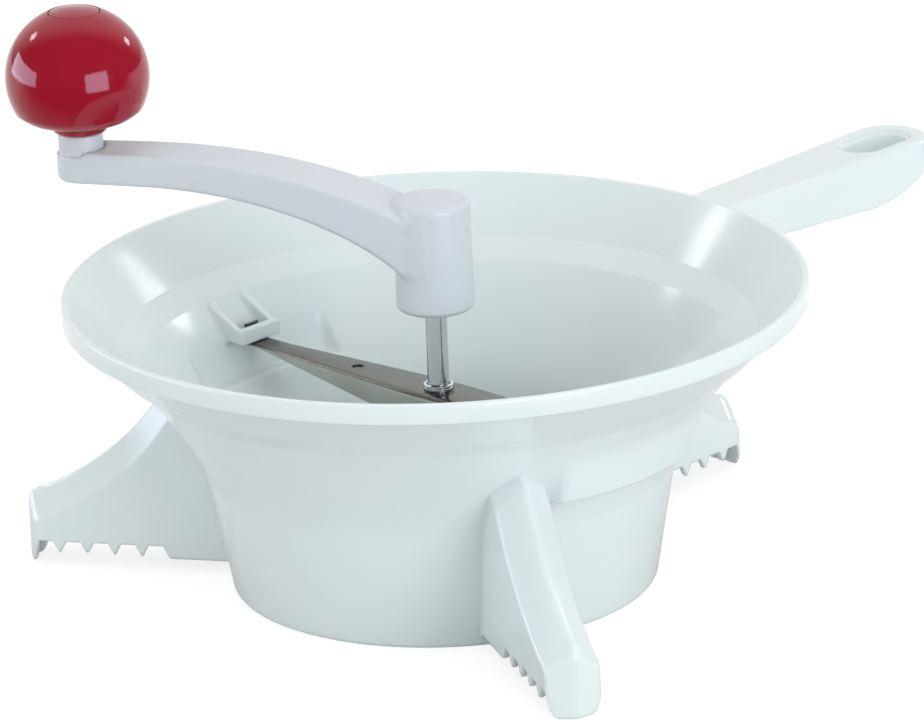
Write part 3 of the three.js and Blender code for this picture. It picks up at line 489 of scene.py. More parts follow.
def spun_piece(name, node, corners, sides, material, body, centre=(0.0, 0.0)):
    points, faces = spin(rounded(corners), sides, centre)
    piece_from(name, points, faces, material, body, node, merge=0.001)


# %% [markdown]
# Where a foot, the handle, a bracket or the crank's arm grows out of another form, the real moulding
# has a soft fillet. Boolean cuts and bevels do that badly on curved walls. These pieces are described
# by distance instead: a function says how far a point is from the surface, negative inside. Two such
# forms are joined with a fillet, or cut with a rounded edge, by a short formula on their distances.
# The surface is then found on a grid, cell by cell, and every point is slid along the slope of the
# distance until it lies on the surface, so that the mesh is smooth and not stepped.

# %% Distances
def polygon_distance(x, y, polygon):
    """Signed distance to a closed outline, negative inside."""
    corners = np.asarray(polygon, dtype=float)
    best = np.full(np.shape(x), 1e12)
    sign = np.ones(np.shape(x))
    for i in range(len(corners)):
        ax, ay = corners[i]
        bx, by = corners[i - 1]
        ex, ey = bx - ax, by - ay
        wx, wy = x - ax, y - ay
        share = np.clip((wx * ex + wy * ey) / (ex * ex + ey * ey + 1e-18), 0, 1)
        dx, dy = wx - ex * share, wy - ey * share
        best = np.minimum(best, dx * dx + dy * dy)
        one, two, three = y >= ay, y < by, ex * wy > ey * wx
        flip = (one & two & three) | (~one & ~two & ~three)
        sign = np.where(flip, -sign, sign)
    return sign * np.sqrt(best)


def joined(a, b, fillet):
    """Both forms, with a fillet where they meet."""
    u, v = np.maximum(fillet - a, 0), np.maximum(fillet - b, 0)
    return np.maximum(fillet, np.minimum(a, b)) - np.sqrt(u * u + v * v)


def shared(a, b, edge):
    """What lies in both forms, with a rounded edge."""
    u, v = np.maximum(edge + a, 0), np.maximum(edge + b, 0)
    return np.minimum(-edge, np.maximum(a, b)) + np.sqrt(u * u + v * v)


# %% A surface from a distance
def settle(points, distance, rounds, longest):
    """Slides points along the slope of the distance until they lie on the surface."""
    probe = 0.02
    for _ in range(rounds):
        x, y, z = points.T
        here = distance(x, y, z)
        slope = np.stack(
            [
                distance(x + probe, y, z) - here,
                distance(x, y + probe, z) - here,
                distance(x, y, z + probe) - here,
            ],
            1,
        ) / probe
        step = slope * (here / np.maximum((slope**2).sum(1), 0.05))[:, None]
        length = np.linalg.norm(step, axis=1)[:, None]
        points = points - step * np.minimum(1, longest / np.maximum(length, 1e-9))
    return points


def surface_of(distance, low, high, cell):
    """Points and four-sided faces of the surface where a distance is nought."""
    axes = [np.arange(a, b + cell, cell) for a, b in zip(low, high)]
    grid = distance(*np.meshgrid(*axes, indexing="ij"))
    inside = grid < 0
    shape = np.array(grid.shape) - 1
    total, crossings = np.zeros((*shape, 3)), np.zeros(shape)
    cells = np.stack(np.meshgrid(*(np.arange(n) for n in shape), indexing="ij"), -1)
    for axis in range(3):
        others = [a for a in range(3) if a != axis]
        for first in (0, 1):
            for second in (0, 1):
                shift = np.zeros(3, dtype=int)
                shift[others[0]], shift[others[1]] = first, second
                far = shift.copy()
                far[axis] = 1
                near_part = tuple(slice(s, s + n) for s, n in zip(shift, shape))
                far_part = tuple(slice(s, s + n) for s, n in zip(far, shape))
                a, b = grid[near_part], grid[far_part]
                cross = inside[near_part] != inside[far_part]
                share = np.where(cross, a / np.where(cross, a - b, 1), 0)
                spot = (cells + shift).astype(float)
                spot[..., axis] += share
                total += np.where(cross[..., None], spot, 0)
                crossings += cross
    used = crossings > 0
    ids = np.full(shape, -1)
    ids[used] = np.arange(used.sum())
    points = np.array(low) + cell * total[used] / crossings[used][:, None]
    faces = []
    for axis in range(3):
        one, two = (axis + 1) % 3, (axis + 2) % 3
        start, stop = np.zeros(3, dtype=int), np.array(grid.shape) - 1
        start[one] = start[two] = 1
        part = tuple(slice(s, e) for s, e in zip(start, stop))
        ahead = tuple(slice(s + (a == axis), e + (a == axis)) for a, (s, e) in enumerate(zip(start, stop)))
        rising = ~inside[part] & inside[ahead]
        falling = inside[part] & ~inside[ahead]
        for cross, flip in ((rising, True), (falling, False)):
            base = np.argwhere(cross) + start
            ring = []
            for d_one, d_two in ((1, 1), (0, 1), (0, 0), (1, 0)):
                at = base.copy()
                at[:, one] -= d_one
                at[:, two] -= d_two
                ring.append(ids[at[:, 0], at[:, 1], at[:, 2]])
            ring = ring[::-1] if flip else ring
            faces.append(np.stack(ring, 1))
    faces = np.concatenate(faces)
    points = settle(points, distance, 2, cell)
    edges = np.concatenate([faces[:, [k, (k + 1) % 4]] for k in range(4)])
    for _ in range(3):
        mean, count = np.zeros_like(points), np.zeros(len(points))
        for a, b in ((0, 1), (1, 0)):
            np.add.at(mean, edges[:, a], points[edges[:, b]])
            np.add.at(count, edges[:, a], 1)
        points = (points + mean / count[:, None]) / 2
        points = settle(points, distance, 2, cell / 2)
    return points, faces


# %% [markdown]
# ## The bowl
# The bowl is one thin moulding: a straight drum below, a funnel that flares out of it, a crease, a
# sloping collar and an upright lip. Two pockets are pressed outwards in the funnel, one at each end
# of the crossbar. A plain lathe form can't have the pockets, so the shell is built as columns. Each
# column is the wall's closed section at one angle, and the section's middle stretch, between two
# heights, is worked out anew for each angle, where the pocket's wall and floor push it outwards.

# %% The bowl's section
rim_radius, rim_height, lip_bottom = 120.0, 99.4, 92.6
outlet_radius, drum_radius, mouth_radius = 59.0, 68.8, 118.1
wall = 2.2
funnel_low, funnel_high = (75.5, 38.0), (97.5, 74.5)
crease, collar_top = (105.0, 80.5), (117.0, lip_bottom)
funnel_first = share_point(funnel_low, funnel_high, (0.085, 0.22))
funnel_second = share_point(funnel_low, funnel_high, (0.54, 0.66))
funnel = bezier_points(funnel_low, funnel_first, funnel_second, funnel_high, 28)
outer_corners = [
    (outlet_radius, 0.0, 0.5),
    (drum_radius, 0.0, 2.2),
    *funnel[:-1],
    (*funnel_high, 1.8),
    (*crease, 1.5),
    (*collar_top, 0.7),
    (rim_radius, lip_bottom, 0.9),
    (rim_radius, rim_height, 1.0),
    (mouth_radius, rim_height, 0.8),
]


def offset_line(line, distance):
    """A line moved sideways by a distance, to the left of its direction."""
    line = np.asarray([p[:2] for p in line], dtype=float)
    ahead = np.diff(line, axis=0)
    ahead /= np.linalg.norm(ahead, axis=1)[:, None]
    entering, leaving = np.vstack([ahead[:1], ahead]), np.vstack([ahead, ahead[-1:]])
    along = entering + leaving
    along /= np.linalg.norm(along, axis=1)[:, None]
    bend = (along * entering).sum(1)[:, None]
    return line + np.stack([-along[:, 1], along[:, 0]], 1) * distance / bend


inner_line = offset_line([(drum_radius, 0.0), *funnel, crease, collar_top], wall)[1:-1]
ledge_top = 3.0
ledge_wall = drum_radius + (funnel_low[0] - drum_radius) * ledge_top / funnel_low[1] - wall
inner_corners = [
    (*inner_line[-1], 0.9),
    (*inner_line[-2], 1.3),
    *inner_line[-3::-1],
    (ledge_wall, ledge_top, 1.0),
    (outlet_radius, ledge_top, 0.5),
]
section = np.array(rounded(outer_corners + inner_corners, steps=4))
outer_end = int(np.argmax(section[:, 1] > rim_height - 1e-6))
outer_part, inner_part = section[:outer_end], section[outer_end:]
pocket_low, pocket_high = 44.0, 74.3


def radius_on(part, height):
    part = part[part[:, 0] > 62]
    order = np.argsort(part[:, 1])
    return np.interp(height, part[order, 1], part[order, 0])


print("outer wall at 60 mm:", round(float(radius_on(outer_part, 60.0)), 2))

# %% The pockets
pocket_floor, pocket_top = 50.0, 76.0
pocket_half, pocket_ramp, pocket_out = 20.5, 4.5, 10.3
pocket_root, root_lean, lean_height = 76.0, 5.5, 21.0


def pocket_depth(angle):
    """How far out the pocket is at an angle in degrees from the crossbar's line: 1 in it, 0 beside it."""
    share = (pocket_half + pocket_ramp - np.abs(angle)) / pocket_ramp - 0.5
    soft = 0.12
    return 0.5 + (np.sqrt((share + 0.5) ** 2 + soft**2) - np.sqrt((share - 0.5) ** 2 + soft**2)) / 2


def pocket_radius(angle, height):
    root = pocket_root + root_lean * (height - pocket_floor) / lean_height
    return root + pocket_out * pocket_depth(angle)


def soft_larger(a, b, reach):
    overlap = np.maximum(reach - np.abs(a - b), 0) / reach
    return np.maximum(a, b) + overlap**3 * reach / 6


def off_crossbar(angle):
    """The angle in degrees from the nearer end of the crossbar."""
    return np.degrees(angle) % 180.0 - 90.0


# %% Columns round the bowl
def even_line(line, count, soften):
    """A line redrawn with evenly spaced points, its corners softened over a length."""
    samples = 200
    steps = np.concatenate([[0], np.cumsum(np.hypot(*np.diff(line, axis=0).T))])
    total = steps[-1]
    fine = np.linspace(0, total, samples)
    dense = np.stack([np.interp(fine, steps, line[:, i]) for i in (0, 1)], 1)
    half = int(soften / total * samples) + 1
    window = np.hanning(2 * half + 3)[1:-1]
    before = 2 * dense[0] - dense[half:0:-1]
    after = 2 * dense[-1] - dense[-2 : -half - 2 : -1]
    padded = np.vstack([before, dense, after])
    smooth = np.stack([np.convolve(padded[:, i], window / window.sum(), "valid") for i in (0, 1)], 1)
    smooth[0], smooth[-1] = dense[0], dense[-1]
    pick = np.linspace(0, len(smooth) - 1, count)
    return np.stack([np.interp(pick, np.arange(len(smooth)), smooth[:, i]) for i in (0, 1)], 1)


def middle_line(part, inset, floor, angle, count):
    """The wall between two heights at one angle, from below upwards."""
    low = np.linspace(pocket_low, floor, 12)
    high = np.linspace(floor, pocket_high, 50)
    plain_low, plain_high = radius_on(part, low), radius_on(part, high)
    pushed = soft_larger(plain_high, pocket_radius(angle, high) - inset, 2.5)
    line = np.vstack([np.stack([plain_low, low], 1), np.stack([pushed, high], 1)])
    return even_line(line, count, 1.5)


def heights_cut(part, low, high):
    """The parts of a line below and above the middle stretch, a little clear of it."""
    clear = 0.3
    rising = part if part[0, 1] < part[-1, 1] else part[::-1]
    first = int(np.argmax(rising[:, 1] > low - clear))
    last = int(np.argmax(rising[:, 1] > high + clear))
    return rising[:first], rising[last:]


near_pockets = np.concatenate([np.arange(-29, -15, 0.75), np.arange(15, 29, 0.75)])
all_round = np.concatenate([np.arange(0, 360, 2.0), 90 + near_pockets, 270 + near_pockets])
column_angles = np.unique(np.round(all_round, 3))
outer_below, outer_above = heights_cut(outer_part, pocket_low, pocket_high)
inner_below, inner_above = heights_cut(inner_part, pocket_low, pocket_high)
middle_rows = 56
columns_of_points = []
for degrees in column_angles:
    angle = math.radians(degrees)
    beside = float(off_crossbar(angle))
    outer_middle = middle_line(outer_part, 0.0, pocket_floor, beside, middle_rows)
    inner_middle = middle_line(inner_part, wall, pocket_floor + wall, beside, middle_rows)
    rising = [outer_below, outer_middle, outer_above]
    falling = [inner_above[::-1], inner_middle[::-1], inner_below[::-1]]
    radius, height = np.vstack(rising + falling).T
    columns_of_points.append(np.stack([radius * math.cos(angle), radius * math.sin(angle), height], 1))
rows = len(columns_of_points[0])
print(len(column_angles), "columns of", rows, "points")

# %% The bowl as a mesh
bowl_faces = []
for c in range(len(column_angles)):
    here, there = c * rows, (c + 1) % len(column_angles) * rows
    for k in range(rows):
        n = (k + 1) % rows
        bowl_faces.append((here + k, there + k, there + n, here + n))
bowl_points, bowl_bands = np.concatenate(columns_of_points), ("bowl_drum", "bowl_funnel", "bowl_rim")
piece_from("bowl", bowl_points, bowl_faces, white_plastic, "base", *bowl_bands, merge=0.001)

# %% [markdown]
# The feet, the handle and the brackets need to know where the bowl's wall is, to grow out of it with
# a fillet. Its distance is taken from the same section, with the pockets joined on.

# %% Distance to the bowl
above_rim, steepness = 110.0, 0.8
solid_outline = [(0.0, -5.0), (drum_radius, -5.0), (drum_radius, 0.0), *funnel[::3], funnel_high, crease]
solid_outline += [collar_top, (rim_radius, lip_bottom), (rim_radius, rim_height), (0.0, rim_height)]
space_outline = [(0.0, ledge_top), (ledge_wall, ledge_top), *inner_line[0:-2:3], *inner_line[-2:]]
space_outline += [(mouth_radius, rim_height), (mouth_radius, above_rim), (0.0, above_rim)]


def pocket_distance(x, y, z, inset):
    side = np.hypot(x, y) - pocket_radius(off_crossbar(np.arctan2(y, x)), z) + inset
    side = side * steepness
    return shared(shared(side, pocket_floor + inset - z, 1.5), z - pocket_top, 0.1)


def bowl_distance(x, y, z, inset=0.0):
    """How far a point is outside the bowl's solid, or, with an inset, outside the space in it."""
    plain = polygon_distance(np.hypot(x, y), z, space_outline if inset else solid_outline)
    return joined(plain, pocket_distance(x, y, z, inset), 1.2)


# %% [markdown]
# ## The feet
# Each foot is a hollow tongue that leaves the funnel, sweeps out past the rim and drops to the table.
# Its back is a low gable, and it is open below, with four teeth in its lower edge for the rim of a pot.
# All three are the same form, so the distance is written once, along +X, and turned for each foot.

# %% A foot
foot_half_width, foot_wall, gable_soft = 9.0, 2.4, 0.14
edge_back, edge_fall = 3.9, 6.9
foot_end, knee_radius, under_table = 134.8, 5.0, -4.0
ridge = bezier_points((92.5, 59.5), (99.0, 48.5), (113.0, 33.5), (foot_end, 24.0), 14)
knee = arc_points((foot_end, 19.0), knee_radius, math.pi / 2, 0.0, 6)[1:]
foot_side = [(86.0, 64.5), *ridge, *knee, (foot_end + knee_radius, under_table)]
foot_side += [(57.0, under_table), (57.0, 64.5)]
tooth_low, notch_high, tooth_half = 3.8, 8.0, 2.2
below_teeth = [(136.8, under_table), (136.8, 0.0), (134.7, notch_high)]
for tip in [127.6 - 9.3 * i for i in range(4)]:
    below_teeth += [(tip + tooth_half, notch_high), (tip, tooth_low), (tip - tooth_half, notch_high)]
below_teeth += [(92.6, notch_high), (90.4, tooth_low), (50.0, tooth_low), (50.0, under_table)]


def foot_distance(x, y, z):
    across = np.minimum(np.abs(y) / foot_half_width, 1.2)
    fall = (np.hypot(across, gable_soft) - gable_soft) / (math.hypot(1, gable_soft) - gable_soft)
    side = polygon_distance(x + edge_back * fall, z + edge_fall * fall, foot_side) * steepness
    outside = shared(side, np.abs(y) - foot_half_width, 0.6)
    hollow = shared(side + foot_wall * steepness, np.abs(y) - foot_half_width + foot_wall, 0.9)
    cut = shared(outside, -hollow, 0.5)
    cut = shared(cut, -polygon_distance(x, z, below_teeth), 0.45)
    return shared(cut, -z, 0.4)


# %% The three feet
root_lift, root_depth = 0.03, 1.0


def grown(form, turn, fillet, reach, side):
    """The distance to a form that grows out of the bowl's outer side, or of its inner side if side is -1."""
    c, s = math.cos(turn), math.sin(turn)

    def distance(x, y, z):
        own = form(x, y, z)
        gap = side * bowl_distance(x * c - y * s, x * s + y * c, z, wall if side < 0 else 0.0)
        whole = joined(own, gap + root_lift, fillet)
        return np.maximum(np.maximum(whole, -root_depth - gap), np.maximum(own - reach, -z))

    return distance


def turned_points(points, turn):
    c, s = math.cos(turn), math.sin(turn)
    x, y, z = points.T
    return np.stack([x * c - y * s, x * s + y * c, z], 1)


def grown_piece(name, form, degrees, fillet, reach, low, high, cell, side=1):
    """A moulded piece that is drawn along +X between two corners, and then turned into place."""
    turn = math.radians(degrees)
    points, faces = surface_of(grown(form, turn, fillet, reach, side), low, high, cell)
    piece_from(f"{name}_form", turned_points(points, turn), faces, white_plastic, "base", name)


foot_corners = ((64.0, -12.0, -0.7), (141.0, 12.0, 70.0))
for name, degrees in (("foot_handle_side", 0.0), ("foot_left", 120.0), ("foot_front", 240.0)):
    grown_piece(name, foot_distance, degrees, 1.0, 1.6, *foot_corners, 0.7)

# %% [markdown]
# ## The handle
# The handle leaves the bowl just under the lip. Seen from above it widens slowly to a round end; its
# underside rises at the end to a thin tip. It is hollow below, with three ribs across, and has a slot
# with a shallow recess round it to hang the mill on. Its upper edges are rounded more than the rest.

# %% Handle
handle_top, root_half, end_half, on_taper = 92.5, 9.6, 14.0, 0.9994
handle_root, end_centre, slot_centre, handle_tip = 103.0, 226.0, 219.0, 240.0
side_low = [(90.0, 79.2), (handle_root, 79.5), (204.0, 74.2)]
side_low += bezier_points((204.0, 74.2), (216.0, 74.2), (228.0, 78.7), (handle_tip, 87.8), 8)[1:]
handle_side = [*side_low, (250.0, 95.4), (250.0, above_rim), (90.0, above_rim)]


def handle_plan(x, y):
    half = root_half + (end_half - root_half) * (x - handle_root) / (end_centre - handle_root)
    end = np.hypot(np.maximum(x - end_centre, 0), y) - end_half
    return np.where(x > end_centre, end, (np.abs(y) - half) * on_taper)


def slot_distance(x, y, half_length, half_width):
    straight = half_length - half_width
    return np.hypot(np.maximum(np.abs(x - slot_centre) - straight, 0), y) - half_width


def handle_distance(x, y, z):
    plan = handle_plan(x, y)
    body = shared(plan, polygon_distance(x, z, handle_side), 1.1)
    body = shared(body, z - handle_top, 2.4)
    hollow = shared(plan + 2.6, x - 196.0, 1.2)
    for rib in (121.0, 146.3, 171.7):
        hollow = shared(hollow, 1.0 - np.abs(x - rib), 0.4)
    hollow = shared(hollow, z - 90.0, 0.8)
    body = shared(body, -hollow, 0.5)
    body = shared(body, -slot_distance(x, y, 13.0, 6.2), 0.8)
    recess = shared(slot_distance(x, y, 14.8, 8.0), handle_top - 1.2 - z, 0.3)
    return shared(body, -recess, 0.4)


grown_piece("handle", handle_distance, 0.0, 2.2, 3.0, (98.0, -15.5, 70.0), (241.5, 15.5, 98.0), 0.75)

# %% [markdown]
# ## The brackets
# Inside each pocket stands a small bridge: a front bar and two ribs that run back to the wall. The
# end of the crossbar is turned in behind the bar and is held down by it.

# %% Brackets
bar_back, bracket_foot, bracket_high = 82.6, 63.9, 68.9
bracket_side = [(79.6, bracket_foot), (112.0, bracket_foot), (112.0, 84.0), (105.0, 80.4)]
bracket_side += [(bar_back, bracket_high), (79.6, bracket_high)]


def bracket_distance(x, y, z):
    block = shared(polygon_distance(x, z, bracket_side), np.abs(y) - 9.0, 0.7)
    return shared(block, -np.maximum(np.abs(y) - 6.5, bar_back - x), 0.5)


bracket_corners = ((77.0, -12.0, 61.5), (110.0, 12.0, 86.0))
for name, degrees in (("bracket_left", 90.0), ("bracket_right", 270.0)):
    grown_piece(name, bracket_distance, degrees, 1.5, 2.0, *bracket_corners, 0.5, side=-1)


# %% [markdown]
# ## The crank's arm
# The arm is one moulding with its hub. Its top and bottom are two flowing lines, drawn as curves; the
# hub is a short column with a soft dome. The outer end is rounded and stepped down round the post
# that carries the knob. The distance again gives the fillet between arm and hub, which no pair of
# plain solids has.

# %% Crank arm
shaft_radius, shaft_bore = 3.5, 3.8
crank_turn, crank_reach = math.radians(119.0), 116.1
hub_low, hub_high, arm_half, arm_end_half = 91.0, 128.8, 12.0, 8.0
step_height, post_top, post_radius = 139.0, 145.7, 7.3
arm_top = bezier_points((8.0, 124.0), (28.0, 132.6), (55.0, 140.8), (95.0, 140.8), 40)
arm_low = bezier_points((8.0, 104.0), (21.9, 117.0), (55.0, 129.9), (95.0, 129.9), 40)


def line_gap(x, z, line):
    """The height of a point above a line, shortened where the line is steep."""
    places, heights = np.array(line).T
    slopes = np.gradient(heights, places)
    return (z - np.interp(x, places, heights)) / np.sqrt(1 + np.interp(x, places, slopes) ** 2)


def crank_distance(x, y, z):
    radius = np.hypot(x, y)
    hub = radius - (12.6 - 0.3 * (z - hub_low) / (hub_high - hub_low))
    hub = shared(hub, hub_low - z, 2.0)
    hub = shared(hub, (z - hub_high + 1.7 * (radius / 12.3) ** 2) * 0.97, 1.4)
    half = arm_half - (arm_half - arm_end_half) * x / crank_reach
    end = np.hypot(np.maximum(x - crank_reach, 0), y) - arm_end_half
    plan = np.where(x > crank_reach, end, (np.abs(y) - half) * on_taper)
    arm = shared(shared(plan, line_gap(x, z, arm_top), 1.5), -line_gap(x, z, arm_low), 2.0)
    around_post = np.hypot(x - crank_reach, y)
    step = shared(around_post - 8.1, step_height - z, 0.3)
    arm = shared(np.maximum(arm, -x), -step, 0.4)
    post = shared(shared(around_post - post_radius, z - post_top, 0.4), 136.0 - z, 0.1)
    whole = joined(joined(hub, arm, 1.6), post, 0.3)
    return shared(whole, -np.maximum(radius - shaft_bore, z - 122.1), 0.4)


points, faces = surface_of(crank_distance, (-14.0, -14.0, 90.0), (125.5, 14.0, 147.0), 0.75)
piece_from("crank_arm_form", turned_points(points, crank_turn), faces, crank_plastic, "crank", "crank_arm")

# %% [markdown]
# ## The knob
# The knob is a turned form: a ball on a short neck, flat below, with a counterbore above for the screw
# and a flush cap that closes it. The thin gap round the cap is real, and it shows as a dark line. It
# turns on its own body, so it is made on its own axis at the arm's end.

# %% Knob, cap, screw and washer
knob_centre = (crank_reach * math.cos(crank_turn), crank_reach * math.sin(crank_turn))
ball_radius, ball_height, knob_low = 23.3, 164.1, 146.1
knob_bore, well_radius, well_floor, seat_radius, cap_radius = 3.3, 6.4, 172.4, 8.5, 8.25
low_angle = math.asin((152.0 - ball_height) / ball_radius)
high_angle = math.acos(seat_radius / ball_radius)
ball = arc_points((0.0, ball_height), ball_radius, low_angle + 0.06, high_angle - 0.02, 40)
cap_seat = ball_height + ball_radius * math.sin(high_angle) - 2.2
knob_outline = [
    (knob_bore, knob_low, 0.3),
    (8.6, knob_low, 1.0),
    (9.7, 148.2, 0.8),
    (9.9, 149.9, 0.5),
    (17.2, 150.6, 3.5),
    *ball,
    (seat_radius, cap_seat + 2.2, 0.25),
    (seat_radius, cap_seat, 0.3),
    (well_radius, cap_seat),
    (well_radius, well_floor),
    (knob_bore, well_floor),
]
spun_piece("knob_ball", "knob", knob_outline, 128, red_plastic, "knob", knob_centre)
cap_low, cap_dome = cap_seat + 0.3, 1.2
cap_edge = ball_height + math.sqrt(ball_radius**2 - 8.55**2) - 0.05
cap_outline = [(0.0, cap_low), (cap_radius, cap_low, 0.3), (cap_radius, cap_edge, 0.35)]
cap_outline += [(cap_radius * c, cap_edge + cap_dome * (1 - c * c)) for c in (0.85, 0.7, 0.55, 0.4, 0.25, 0.1)]
cap_outline += [(0.0, cap_edge + cap_dome)]
spun_piece("knob_cap_disc", "knob_cap", cap_outline, 96, red_plastic, "knob", knob_centre)
screw_outline = [(0.0, 131.8), (2.6, 131.8, 0.2), (3.0, 132.4), (3.0, 174.0), (5.4, 174.0, 0.3)]
screw_outline += [(5.4, 177.0, 0.9), (1.6, 177.0, 0.2), (1.6, 175.6), (0.0, 175.6)]
spun_piece("knob_screw_turned", "knob_screw", screw_outline, 48, bright_steel, "crank", knob_centre)
washer_outline = [(knob_bore, 172.7, 0.15), (5.8, 172.7, 0.3), (5.8, 173.6, 0.3), (knob_bore, 173.6, 0.15)]
spun_piece("knob_washer_ring", "knob_washer", washer_outline, 48, bright_steel, "knob", knob_centre)

# %% [markdown]
# ## The shaft and what it carries
# The shaft, its guide bush, the blade's boss and the washers are all turned parts, so each is an
# outline spun round the axis. Small radii on every corner catch the thin bright lines that polished
# steel shows.

# %% Shaft, bush, boss, washers and lock ring
shaft_outline = [(0.0, 2.5), (2.9, 2.5, 0.2), (shaft_radius, 3.1, 0.2)]
shaft_outline += [(shaft_radius, 121.2, 0.2), (2.9, 121.8, 0.2), (0.0, 121.8)]
spun_piece("shaft_rod", "shaft", shaft_outline, 64, bright_steel, "crank")
bush_outline = [
    (shaft_bore, 59.1, 0.2),
    (4.6, 59.1, 0.3),
    (4.6, 63.9, 0.1),
    (4.5, 64.05, 0.1),
    (4.2, 64.15, 0.2),
    (4.15, 64.8, 0.3),
    (4.9, 64.95, 0.15),
    (4.85, 65.4, 0.15),
    (3.95, 65.6, 0.2),
    (shaft_bore, 65.2, 0.1),
]
spun_piece("bush_turned", "crossbar_bush", bush_outline, 72, bright_steel, "crossbar")
rings = (
    ("upper_washer_ring", "upper_spring_washer", "crossbar", 4.9, 7.4, 61.3, 1.0, 0.35, bright_steel),
    ("lower_washer_ring", "lower_spring_washer", "carrier", shaft_bore, 7.4, 19.8, 1.0, 0.35, bright_steel),
    ("boss_turned", "blade_boss", "crank", shaft_bore, 7.5, 11.9, 7.6, 0.8, bright_steel),
    ("lock_ring_flat", "blade_lock_ring", "crank", shaft_bore, 6.5, 8.8, 1.3, 0.3, wire_steel),
)
for name, node, body, bore, radius, low, height, edge, material in rings:
    top = low + height
    outline = [(bore, low, 0.15), (radius, low, edge), (radius, top, edge), (bore, top, 0.15)]
    spun_piece(name, node, outline, 72, material, body)

# %% [markdown]
# ## The crossbar
# The crossbar is one strip of sheet, folded down along both long edges, wide in the middle and narrow
# at the ends, where it is turned up behind the brackets. It is built by sweeping its folded section
# along the strip. The sweep follows the bend at each end, so the sheet stays one thickness all along.

# %% Crossbar's sweep
bar_top, bar_reach, bar_sheet = 63.6, 84.6, 1.0
bend_inner, tab_top, tab_half = 0.6, 69.1, 3.0
taper_start, taper_end = 8.0, 77.6
bar_half, bar_end_half, bar_drop = 8.75, 4.2, 9.8
flat_end = bar_reach - bar_sheet - bend_inner
thinnest = 0.001


def strip_section(half, drop):
    """The folded sheet across the bar, as (across, down) points round the metal."""
    quarter = np.linspace(0, math.pi / 2, 5)
    outer = min(1.9, drop * 0.95)
    inner = max(outer - bar_sheet, 0.05)
    low = min(bar_sheet + inner, max(drop - thinnest, bar_sheet + thinnest))
    turn_in = max(low - bar_sheet, thinnest)
    inner_half = half - bar_sheet
    points = [(-half, drop)]
    points += [(-half + outer - outer * math.cos(a), outer - outer * math.sin(a)) for a in quarter]
    points += [(half - outer + outer * math.sin(a), outer - outer * math.cos(a)) for a in quarter]
    points += [(half, drop), (inner_half, drop)]
    points += [(inner_half - turn_in + turn_in * math.cos(a), low - turn_in * math.sin(a)) for a in quarter]
    for a in quarter[::-1]:
        points.append((turn_in - inner_half - turn_in * math.cos(a), low - turn_in * math.sin(a)))
    return [*points, (-inner_half, drop)]


flat_places = [*np.linspace(0, 9, 4), *np.linspace(10, 77, 30), taper_end, 80.0, flat_end]
stations = [(y, bar_top, 0.0) for y in flat_places]
for a in np.linspace(0, math.pi / 2, 6)[1:]:
    stations.append((flat_end + bend_inner * math.sin(a), bar_top + bend_inner * (1 - math.cos(a)), a))
stations.append((flat_end + bend_inner, tab_top, math.pi / 2))
all_stations = [(*station, -1) for station in stations[:0:-1]] + [(*station, 1) for station in stations]
bar_points, bar_faces = [], []
for y, z, a, side in all_stations:
    share = np.clip((y - taper_start) / (taper_end - taper_start), 0, 1)
    share = (math.hypot(share, 0.03) - 0.03) / (math.hypot(1, 0.03) - 0.03)
    half = bar_half - (bar_half - bar_end_half) * share if a == 0 else tab_half
    drop = bar_drop - (bar_drop - bar_sheet) * share if y < taper_end else bar_sheet
    for across, down in strip_section(half, drop):
        bar_points.append((across, side * (y + down * math.sin(a)), z - down * math.cos(a)))
ring_size = len(bar_points) // len(all_stations)
last_ring = len(bar_points) - ring_size
for near in range(0, last_ring, ring_size):
    far = near + ring_size
    for k in range(ring_size):
        n = (k + 1) % ring_size
        bar_faces.append((near + k, near + n, far + n, far + k))
bar_faces.append(tuple(range(ring_size))[::-1])
bar_faces.append(tuple(range(last_ring, len(bar_points))))


# %% Holes in the crossbar
def keep_modified(piece):
    """Keeps what a piece's modifiers make as its plain mesh, and takes the modifiers off."""
    graph = bpy.context.evaluated_depsgraph_get()
    result = bpy.data.meshes.new_from_object(piece.evaluated_get(graph))
    piece.modifiers.clear()
    piece.data = result


def cut_by(target, *cutters):
    for cutter in cutters:
        modifier = target.modifiers.new("cut", "BOOLEAN")
        modifier.operation = "DIFFERENCE"
        modifier.object = cutter
        modifier.solver = "EXACT"
    keep_modified(target)
    for cutter in cutters:
        bpy.data.objects.remove(cutter)


def dress(piece, material, body, node, soft_edge=40):
    """Gives a cut piece its material and smooth shading that stops at its sharp edges."""
    mesh = piece.data
    mesh.materials.clear()
    mesh.materials.append(material)
    mesh.polygons.foreach_set("material_index", [0] * len(mesh.polygons))
    mesh.polygons.foreach_set("use_smooth", [True] * len(mesh.polygons))
    mesh.set_sharp_from_angle(angle=math.radians(soft_edge))
    finish_piece(piece, material, body, node)


def rod_cutter(name, place, radius, low, high=70.0, sides=48):
    points, faces = spin([(0.0, low), (radius, low), (radius, high), (0.0, high)], sides, place)
    return mesh_object(name, points, faces)


small_hole, small_hole_reach = 2.0, 36.0
crossbar = mesh_object("crossbar_folded", bar_points, bar_faces)
cut_by(
    crossbar,
    rod_cutter("bush_hole", (0.0, 0.0), 4.9, 55.0),
    rod_cutter("near_hole", (0.0, -small_hole_reach), small_hole, 60.0),
    rod_cutter("far_hole", (0.0, small_hole_reach), small_hole, 60.0),
)
dress(crossbar, rolled_steel, "crossbar", "crossbar", 25)

# %% [markdown]
# ## The blade
# The passing blade is a pressed sheet on a small hub. It lies close over the sieve at its scraping
# edge and climbs behind it, so that it wedges the food down. Its height follows one rule, so it is
# laid out as a grid: whole rings near the shaft, and only the blade's arc further out.

